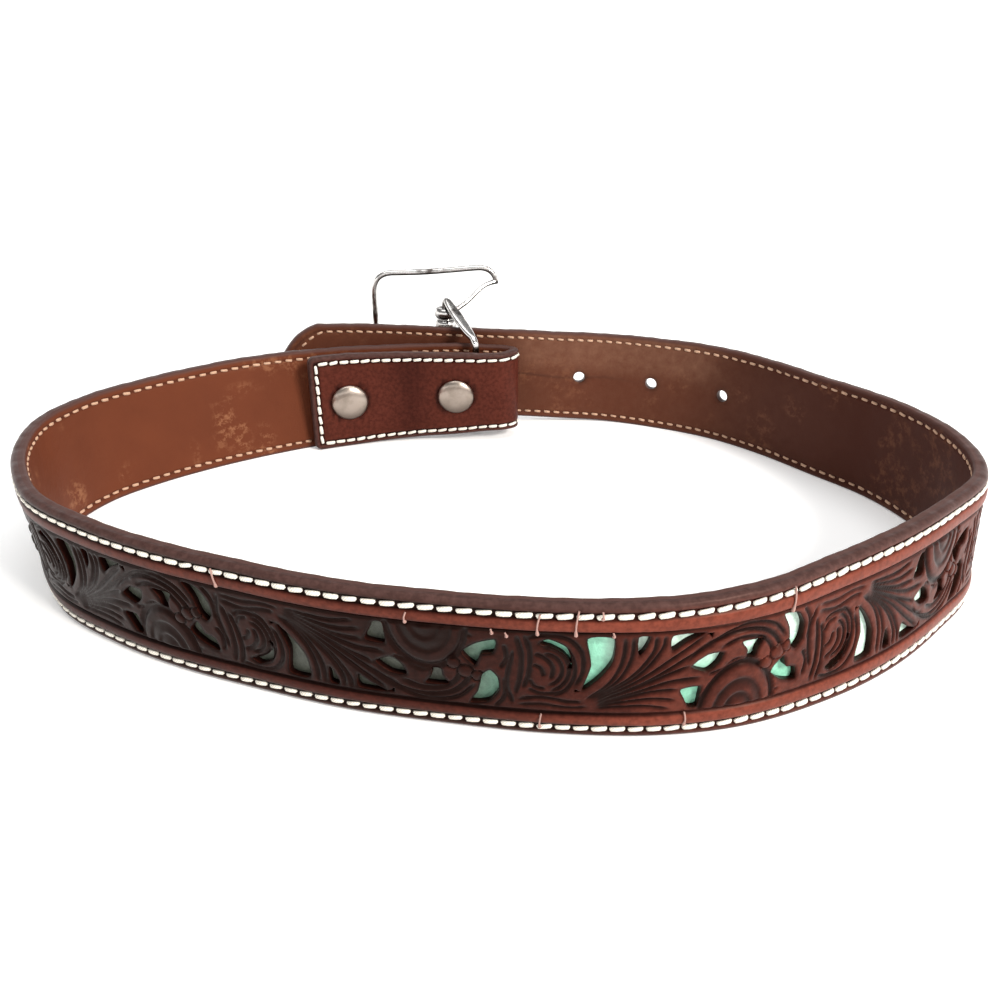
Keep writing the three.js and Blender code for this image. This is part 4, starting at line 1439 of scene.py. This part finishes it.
def sweep(path: Array, half: Array, closed: bool, plane: Array, sides: int = 16,
          squareness: float = 2.0) -> tuple[Array, Array]:
    """Carries an oval section along a path: one half size lies in the path's plane and square to
    it, the other stands on the plane; a squareness over 2 fills the section's corners.

    Args:
        path: Points along the bar.
        half: Two half sizes for each point, in the plane and square to it.
        closed: Whether the bar closes on itself.
        plane: Normal of the path's plane.
        sides: Points round the section.
        squareness: Power of the section's oval.

    Returns:
        Points and four-sided faces.
    """
    if closed:
        along = np.roll(path, -1, axis=0) - np.roll(path, 1, axis=0)
    else:
        along = np.gradient(path, axis=0)
    along /= np.linalg.norm(along, axis=1)[:, None]
    in_plane = np.cross(plane, along)
    in_plane /= np.linalg.norm(in_plane, axis=1)[:, None]
    stand = np.cross(along, in_plane)
    angle = np.linspace(0, 2 * np.pi, sides, endpoint=False)
    cos, sin = np.cos(angle), np.sin(angle)
    x = np.sign(cos) * np.abs(cos)**(2 / squareness)
    y = np.sign(sin) * np.abs(sin)**(2 / squareness)
    half = np.broadcast_to(half, (len(path), 2))
    points = (path[:, None] + half[:, None, :1] * x[:, None] * in_plane[:, None]
              + half[:, None, 1:] * y[:, None] * stand[:, None])
    return points.reshape(-1, 3), tube_faces(len(path), sides, closed)


def rounded_loop(corners: Array, radius: float, steps: int) -> Array:
    """A loop of straight bars whose corners are quadratic curves.

    Args:
        corners: The loop's corner points.
        radius: How far from a corner its curve starts.
        steps: Points in each corner and each bar.

    Returns:
        Points round the loop.
    """
    t = np.linspace(0, 1, steps)[:, None]
    points = []
    for i, corner in enumerate(corners):
        before = corners[i - 1] - corner
        after = corners[(i + 1) % len(corners)] - corner
        start = corner + before / np.linalg.norm(before) * radius
        end = corner + after / np.linalg.norm(after) * radius
        points.append(bend(start, corner, end, t))
        far = corners[(i + 1) % len(corners)] - after / np.linalg.norm(after) * radius
        points.append(end + (far - end) * np.linspace(0, 1, steps)[1:-1, None])
    return np.vstack(points)


@dataclass(frozen=True)
class ThreadEnd:
    """One loose thread end: where it starts on the grain face, how far it runs across the strap
    and how far it drifts along it, in millimetres.
    """

    along: float
    height: float
    reach: float
    drift: float


@dataclass(frozen=True)
class LooseThreads:
    """Short ends of thread that lie over the border, and knots in it."""

    ends: tuple = (
        ThreadEnd(332.0, 30.6, -4.2, 0.3),
        ThreadEnd(370.5, 28.4, -2.4, -0.4),
        ThreadEnd(385.5, 26.2, -0.9, 0.2),
        ThreadEnd(388.0, 25.6, -0.8, 0.3),
        ThreadEnd(394.0, 30.2, -4.6, -0.5),
        ThreadEnd(394.5, 6.0, -3.6, -0.3),
        ThreadEnd(400.5, 31.2, -5.6, -0.4),
        ThreadEnd(404.5, 31.0, -1.6, 0.1),
        ThreadEnd(406.5, 26.3, -0.8, 0.2),
        ThreadEnd(421.0, 6.6, -3.2, 0.3),
        ThreadEnd(440.0, 31.0, -5.4, 0.3),
    )
    radius: float = 0.2

    def build(self, thread: Material) -> None:
        """Makes all the ends as one piece: each is a thin bar that sags onto the leather, and its
        last quarter swells to a knot.

        Args:
            thread: Their material.
        """
        t = np.linspace(0, 1, 14)
        places, faces = [], []
        for number, end in enumerate(self.ends):
            s = end.along + end.drift * np.sin(2.2 * t)
            lift = THICKNESS / 2 + 0.28 + 0.3 * np.sin(np.pi * t)
            path = STRAP.points(s, end.height + end.reach * t, lift)
            thick = self.radius * (0.9 + 0.9 * smooth_step(0.72, 0.95, t))
            plane = path[0] - path[-1] + [9.0, 0, 0]
            points, quads = sweep(path, np.stack([thick, thick], 1), False, plane, 6)
            places.append(points)
            faces.append(quads + number * len(points))
        piece = Piece("thread_ends", "strap", "tooled_leather", thread)
        piece.place(np.vstack(places), np.vstack(faces))


@dataclass
class Snap:
    """One press stud: a domed cap through the tab and its stud on the strap behind."""

    number: int
    on_tab: float
    on_strap: float
    gap: float
    cap_radius: float = 5.9
    post: float = 1.7

    @staticmethod
    def axis(s: float) -> tuple[Array, Array]:
        """The strap's middle at a length, and the direction square to the leather there."""
        middle, top, low = STRAP.points(s, WIDTH * np.array([0.5, 1.0, 0.0]), 0.0)
        outer = STRAP.points(s, WIDTH / 2, 1.0) - middle
        up = (top - low) / np.linalg.norm(top - low)
        outer = outer - up * (outer @ up)
        return middle, outer / np.linalg.norm(outer)

    def build(self, nickel: Material) -> None:
        """Makes the cap and the stud.

        Args:
            nickel: Their material.
        """
        face = THICKNESS / 2 + 0.1
        meet = self.gap / 2 - 0.3
        rim = self.cap_radius
        t = np.linspace(0, 1, 22) * np.pi / 2
        dome = np.stack([rim * np.cos(t)**0.62, face + 0.35 + 1.75 * np.sin(t)**1.25], 1)
        dome[-1, 0] = 0.0
        post = [[self.post, -face], [self.post, face]]
        cap = [[0, -meet], [2.8, -meet], [3.0, -meet + 0.2], [3.0, -face], *post,
               [rim - 0.5, face], [rim - 0.1, face + 0.08], [rim + 0.03, face + 0.25], *dome]
        stud = [[0, -meet], [2.6, -meet], [2.9, -meet + 0.3], [2.6, -face], *post, [4.5, face],
                [4.7, face + 0.3], [4.2, face + 0.8], [2.0, face + 0.95], [1.6, face + 0.6],
                [0, face + 0.6]]
        parts = (("cap", cap, self.on_tab, 56), ("stud", stud, self.on_strap, 32))
        for kind, profile, s, sides in parts:
            piece = Piece(f"snap_{kind}_round_{self.number}", "strap", "snap_metal", nickel,
                          (f"snap_{kind}_{self.number}",))
            piece.place(*lathe(np.array(profile), *self.axis(s), sides))


@dataclass
class Buckle:
    """The bail in the fold, and the open wire frame that turns on it.

    flat_part is where the bail's upper arm is flattened, along Y from the part's origin.
    """

    fold_low: tuple = (-8.0, 89.9, 1.4)
    fold_high: tuple = (-8.0, 86.9, 33.4)
    hinge: tuple = (-19.0, 109.4)
    hinge_low: float = 1.4
    hinge_high: float = 42.6
    barrel_low: float = 7.0
    barrel_high: float = 39.4
    left: float = -44.5
    right: float = -1.2
    low: float = 1.9
    high: float = 50.0
    corner: float = 7.0
    depth_left: float = 116.0
    depth_right: float = 119.5
    open_low: float = 10.6
    open_high: float = 44.8
    hook_height: float = 26.0
    flat_part: tuple = (63.5, 82.0)

    @staticmethod
    def centred(points: Array) -> Array:
        """Moves points from the fitted plan to the part's own origin."""
        return points - np.array([BOX_CENTRE[0], BOX_CENTRE[1], 0.0])

    def frame_depth(self, x: Array) -> Array:
        """Depth of the frame's plane at a place along X."""
        share = (x - self.left) / (self.right - self.left)
        return self.depth_left + share * (self.depth_right - self.depth_left)

    def build_bail(self, nickel: Material) -> None:
        """Makes the bail: round posts, and arms that flatten to a strap of metal between them.

        Args:
            nickel: Its material.
        """
        corners = np.array([
            self.fold_low,
            (*self.hinge, self.hinge_low),
            (*self.hinge, self.hinge_high),
            self.fold_high,
        ])
        path = self.centred(rounded_loop(corners, 2.6, 14))
        plane = np.cross(corners[1] - corners[0], corners[2] - corners[1])
        near, far = self.flat_part
        share = np.clip((path[:, 1] - near) / (far - near), 0, 1)
        flat = np.sin(np.pi * share)**0.5 * (path[:, 2] > 20)
        half = np.stack([1.1 - 0.25 * flat, 1.15 + 0.85 * flat], 1)
        points, faces = sweep(path, half, True, plane, 20, 2.4)
        Piece("bail_wire", "strap", "buckle_metal", nickel, ("bail",)).place(points, faces)

    def rope(self, path: Array) -> tuple[Array, Array]:
        """The rope edge: a round bar along the frame's outer face whose radius swells as the
        sine of its angle less its length, so that the swells wind round it.

        Args:
            path: The frame's middle line.

        Returns:
            Points and faces.
        """
        count, sides, pitch = 900, 12, 1.9
        total = measured(path)[-1]
        at = np.linspace(0, total, count)
        line = walk(path, at)
        turns = round(total / pitch)
        points, faces = sweep(line, np.array([1.0, 1.0]), False, TO_FRONT, sides)
        angle = np.tile(np.linspace(0, 2 * np.pi, sides, endpoint=False), count)
        wind = 2 * np.pi * turns * np.repeat(at, sides) / total
        centre = np.repeat(line, sides, axis=0)
        swell = smooth_step(-30, -10, centre[:, 0]) * (centre[:, 2] > 30)
        radius = 0.62 + 0.3 * swell * np.abs(np.sin(angle + wind))
        return centre + (points - centre) * radius[:, None], faces

    def build_frame(self, nickel: Material) -> None:
        """Makes the frame, its rope edge, its neck and its barrel.

        Args:
            nickel: Their material.
        """
        x = np.array([self.right, self.left, self.left, self.right])
        z = np.array([self.high, self.high, self.low, self.low])
        loop = rounded_loop(np.stack([x, self.frame_depth(x), z], 1), self.corner, 22)
        shut = (loop[:, 2] < self.open_low) | (loop[:, 2] > self.open_high)
        shut |= loop[:, 0] < self.right - 1
        path = self.centred(loop[shut])
        path[:, 2] += 1.5 * smooth_step(-30, 2, path[:, 0]) * smooth_step(30, 44, path[:, 2])
        ends = path[[0, -1]] + 0.3 * (path[[0, -1]] - path[[1, -2]])
        bar = np.vstack([ends[:1], path, ends[1:]])
        half = np.tile([0.95, 1.35], (len(bar), 1))
        half[[0, -1]] = 0.03
        points, faces = sweep(bar, half, False, TO_FRONT, 20, 3.0)
        batch = [(points, faces), self.rope(path + [0, 0.75, 0])]
        batch += [self.neck(46.5, 37.6), self.neck(9.0, 9.0), self.barrel()]
        joined, base = [], 0
        for places, quads in batch:
            joined.append(quads + base)
            base += len(places)
        points = np.vstack([places for places, _ in batch])
        piece = Piece("frame_wire", "buckle", "buckle_metal", nickel, ("buckle_frame",))
        piece.place(points, np.vstack(joined))

    def build_hook(self, nickel: Material) -> None:
        """Makes the hook: a round pin with a bead at its end, on the inside of the frame.

        Args:
            nickel: Its material.
        """
        profile = [[0, 0], [1.3, 0], [1.3, 3.6], [1.7, 3.9], [2.0, 4.3], [1.8, 4.8], [1.2, 5.0],
                   [0, 5.0]]
        foot = self.centred(np.array([self.left, self.depth_left - 1.75, self.hook_height]))
        piece = Piece("hook_pin", "buckle", "buckle_metal", nickel, ("hook_post",))
        piece.place(*lathe(np.array(profile), foot, TO_FRONT, 28))

    def neck(self, on_frame: float, on_barrel: float) -> tuple[Array, Array]:
        """One arm from the frame's hinge side back to the barrel, thicker at both ends.

        Args:
            on_frame: Height where it leaves the frame.
            on_barrel: Height where it meets the barrel.

        Returns:
            Points and faces.
        """
        start = np.array([self.right, self.depth_right, on_frame])
        end = np.array([self.hinge[0] + 2.0, self.hinge[1], on_barrel])
        knee = start + 0.3 * (end - start)
        knee[2] = on_frame + 0.15 * (on_barrel - on_frame)
        path = self.centred(spline(np.array([start, knee, start + 0.65 * (end - start), end]), 14))
        t = np.linspace(-1, 1, len(path))
        half = np.stack([0.75 + 0.35 * t**4, 0.85 + 0.35 * t**4], 1)
        return sweep(path, half, False, np.array([0.5, -0.85, 0.1]), 14)

    def barrel(self) -> tuple[Array, Array]:
        """The barrel on the hinge post: a tube with two round beads at its top and one below.

        Returns:
            Points and faces.
        """
        z = np.linspace(self.barrel_low, self.barrel_high, 140)
        radius = np.full_like(z, 2.5)
        for middle, half, swell in ((37.6, 1.9, 1.35), (33.6, 1.9, 1.25), (8.8, 1.8, 0.9)):
            radius = radius + swell * arch(z, middle, half)
        outer = np.stack([radius, z - self.barrel_low], 1)
        bore, top = [[1.3, 0.0]], [[1.3, self.barrel_high - self.barrel_low]]
        profile = np.vstack([bore, outer, top, bore])
        foot = self.centred(np.array([*self.hinge, self.barrel_low]))
        return lathe(profile, foot, np.array([0.0, 0.0, 1.0]), 40)

    def build(self, nickel: Material) -> None:
        """Makes the whole buckle."""
        self.build_bail(nickel)
        self.build_frame(nickel)
        self.build_hook(nickel)


@dataclass(frozen=True)
class Softbox:
    """One soft light: where it stands, what it looks at, its size and its power."""

    name: str
    place: tuple
    aim: tuple
    size: float
    power: float
    colour: tuple = (1.0, 1.0, 1.0)

    def build(self) -> None:
        """Makes the light."""
        data = bpy.data.lights.new(self.name, "AREA")
        data.shape = "SQUARE"
        data.size = self.size
        data.energy = self.power
        data.color = self.colour
        lamp = bpy.data.objects.new(self.name, data)
        bpy.context.scene.collection.objects.link(lamp)
        start = np.array(self.place)
        way = np.array(self.aim) - start
        pitch = np.arctan2(np.hypot(way[0], way[1]), -way[2])
        turn = np.arctan2(way[1], way[0]) - np.pi / 2
        lamp.location = start
        lamp.rotation_euler = Euler((pitch, 0.0, turn))


@dataclass
class Studio:
    """The plain pale floor, the soft lights and the camera."""

    camera_place: tuple = (1.861, -220.845, 114.14)
    camera_elevation: float = 26.28
    lens: float = 31.53
    shift: float = 0.0015

    def build_floor(self) -> None:
        """Makes the floor: flat round the belt, and rising as a parabola beyond 1.5 m. It glows,
        more where the lights don't reach, so that it stays evenly pale.
        """
        mesh = bpy.data.meshes.new("floor")
        round_it = np.linspace(0, 2 * np.pi, 96)
        radius, angle = np.meshgrid(np.linspace(0.02, 3.5, 60), round_it, indexing="ij")
        height = 0.35 * np.maximum(0, radius - 1.5)**2
        points = np.stack([radius * np.cos(angle), radius * np.sin(angle), height], -1).reshape(-1, 3)
        middle = grid_triangles(*radius.shape)
        hub = np.stack([np.full(95, len(points)), np.arange(95), np.arange(1, 96)], 1)
        faces = np.vstack([middle, hub])
        mesh.from_pydata(np.vstack([points, np.zeros(3)]).tolist(), [], faces.tolist())
        book = NodeBook("floor_white")
        book.set(Base_Color=(0.93, 0.93, 0.925, 1.0), Roughness=0.7, Specular_IOR_Level=0.2)
        where = book.node("ShaderNodeTexCoord")
        length = book.node("ShaderNodeVectorMath", operation="LENGTH")
        book.link(where.outputs["Object"], length.inputs[0])
        glow = book.node("ShaderNodeMapRange", interpolation_type="SMOOTHSTEP")
        for name, value in (("From Min", 0.45), ("From Max", 1.1), ("To Min", 0.22), ("To Max", 0.9)):
            glow.inputs[name].default_value = value
        book.link(length.outputs["Value"], glow.inputs["Value"])
        book.set(Emission_Color=(1.0, 1.0, 1.0, 1.0))
        book.feed("Emission Strength", glow.outputs["Result"])
        mesh.materials.append(book.material)
        floor = bpy.data.objects.new("floor", mesh)
        bpy.context.scene.collection.objects.link(floor)

    def build_lights(self) -> None:
        """Makes a key light from the front right, a wide top light and a pale sky."""
        Softbox("key", (0.8, -0.7, 0.75), (0.0, 0.0, 0.02), 0.35, 21.0, (1.0, 0.96, 0.91)).build()
        Softbox("top", (0.0, 0.1, 1.4), (0.0, 0.0, 0.0), 1.4, 15.0).build()
        world = bpy.context.scene.world or bpy.data.worlds.new("sky")
        bpy.context.scene.world = world
        world.use_nodes = True
        sky = world.node_tree.nodes["Background"]
        sky.inputs["Color"].default_value = (1.0, 1.0, 1.0, 1.0)
        sky.inputs["Strength"].default_value = 0.24
        bpy.context.scene.view_settings.view_transform = "Standard"

    def build_camera(self) -> None:
        """Makes the camera at the photograph's place and angle."""
        data = bpy.data.cameras.new("camera")
        data.lens = self.lens
        data.sensor_width = 36.0
        data.sensor_fit = "HORIZONTAL"
        data.shift_y = self.shift
        data.clip_start = 0.005
        data.clip_end = 20.0
        camera = bpy.data.objects.new("camera", data)
        bpy.context.scene.collection.objects.link(camera)
        camera.location = np.array(self.camera_place) * MM
        camera.rotation_euler = Euler((np.radians(90.0 - self.camera_elevation), 0.0, 0.0))
        bpy.context.scene.camera = camera

    def build(self) -> None:
        """Makes the whole studio."""
        self.build_floor()
        self.build_lights()
        self.build_camera()


def main() -> None:
    """Builds the belt and its studio."""
    logging.basicConfig(level=logging.INFO, format="%(name)s: %(message)s")
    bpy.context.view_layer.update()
    Studio().build()
    leather = StrapLeather()
    leather.build(CarvedLeather().material(), LiningLeather().material(), MintLeather().material())
    white = Thread("white_thread", (0.86, 0.82, 0.74), (0.62, 0.56, 0.47))
    tan = Thread("tan_thread", (0.58, 0.37, 0.25), (0.34, 0.19, 0.12))
    Stitching(leather).build(white.material(), tan.material())
    LooseThreads().build(Thread("worn_thread", (0.52, 0.34, 0.29), (0.34, 0.20, 0.17)).material())
    dull = Nickel("dull_nickel", (0.50, 0.42, 0.36), (0.36, 0.30, 0.25), (0.15, 0.12, 0.10), 0.32)
    snap_metal = dull.material()
    Snap(1, CAP_PLACES[0], 128.25, 6.251).build(snap_metal)
    Snap(2, CAP_PLACES[1], 90.65, 9.674).build(snap_metal)
    bright = Nickel("bright_nickel", (0.74, 0.72, 0.70), (0.14, 0.12, 0.11), (0.03, 0.025, 0.024), 0.2)
    Buckle().build(bright.material())


if __name__ == "__main__":
    main()
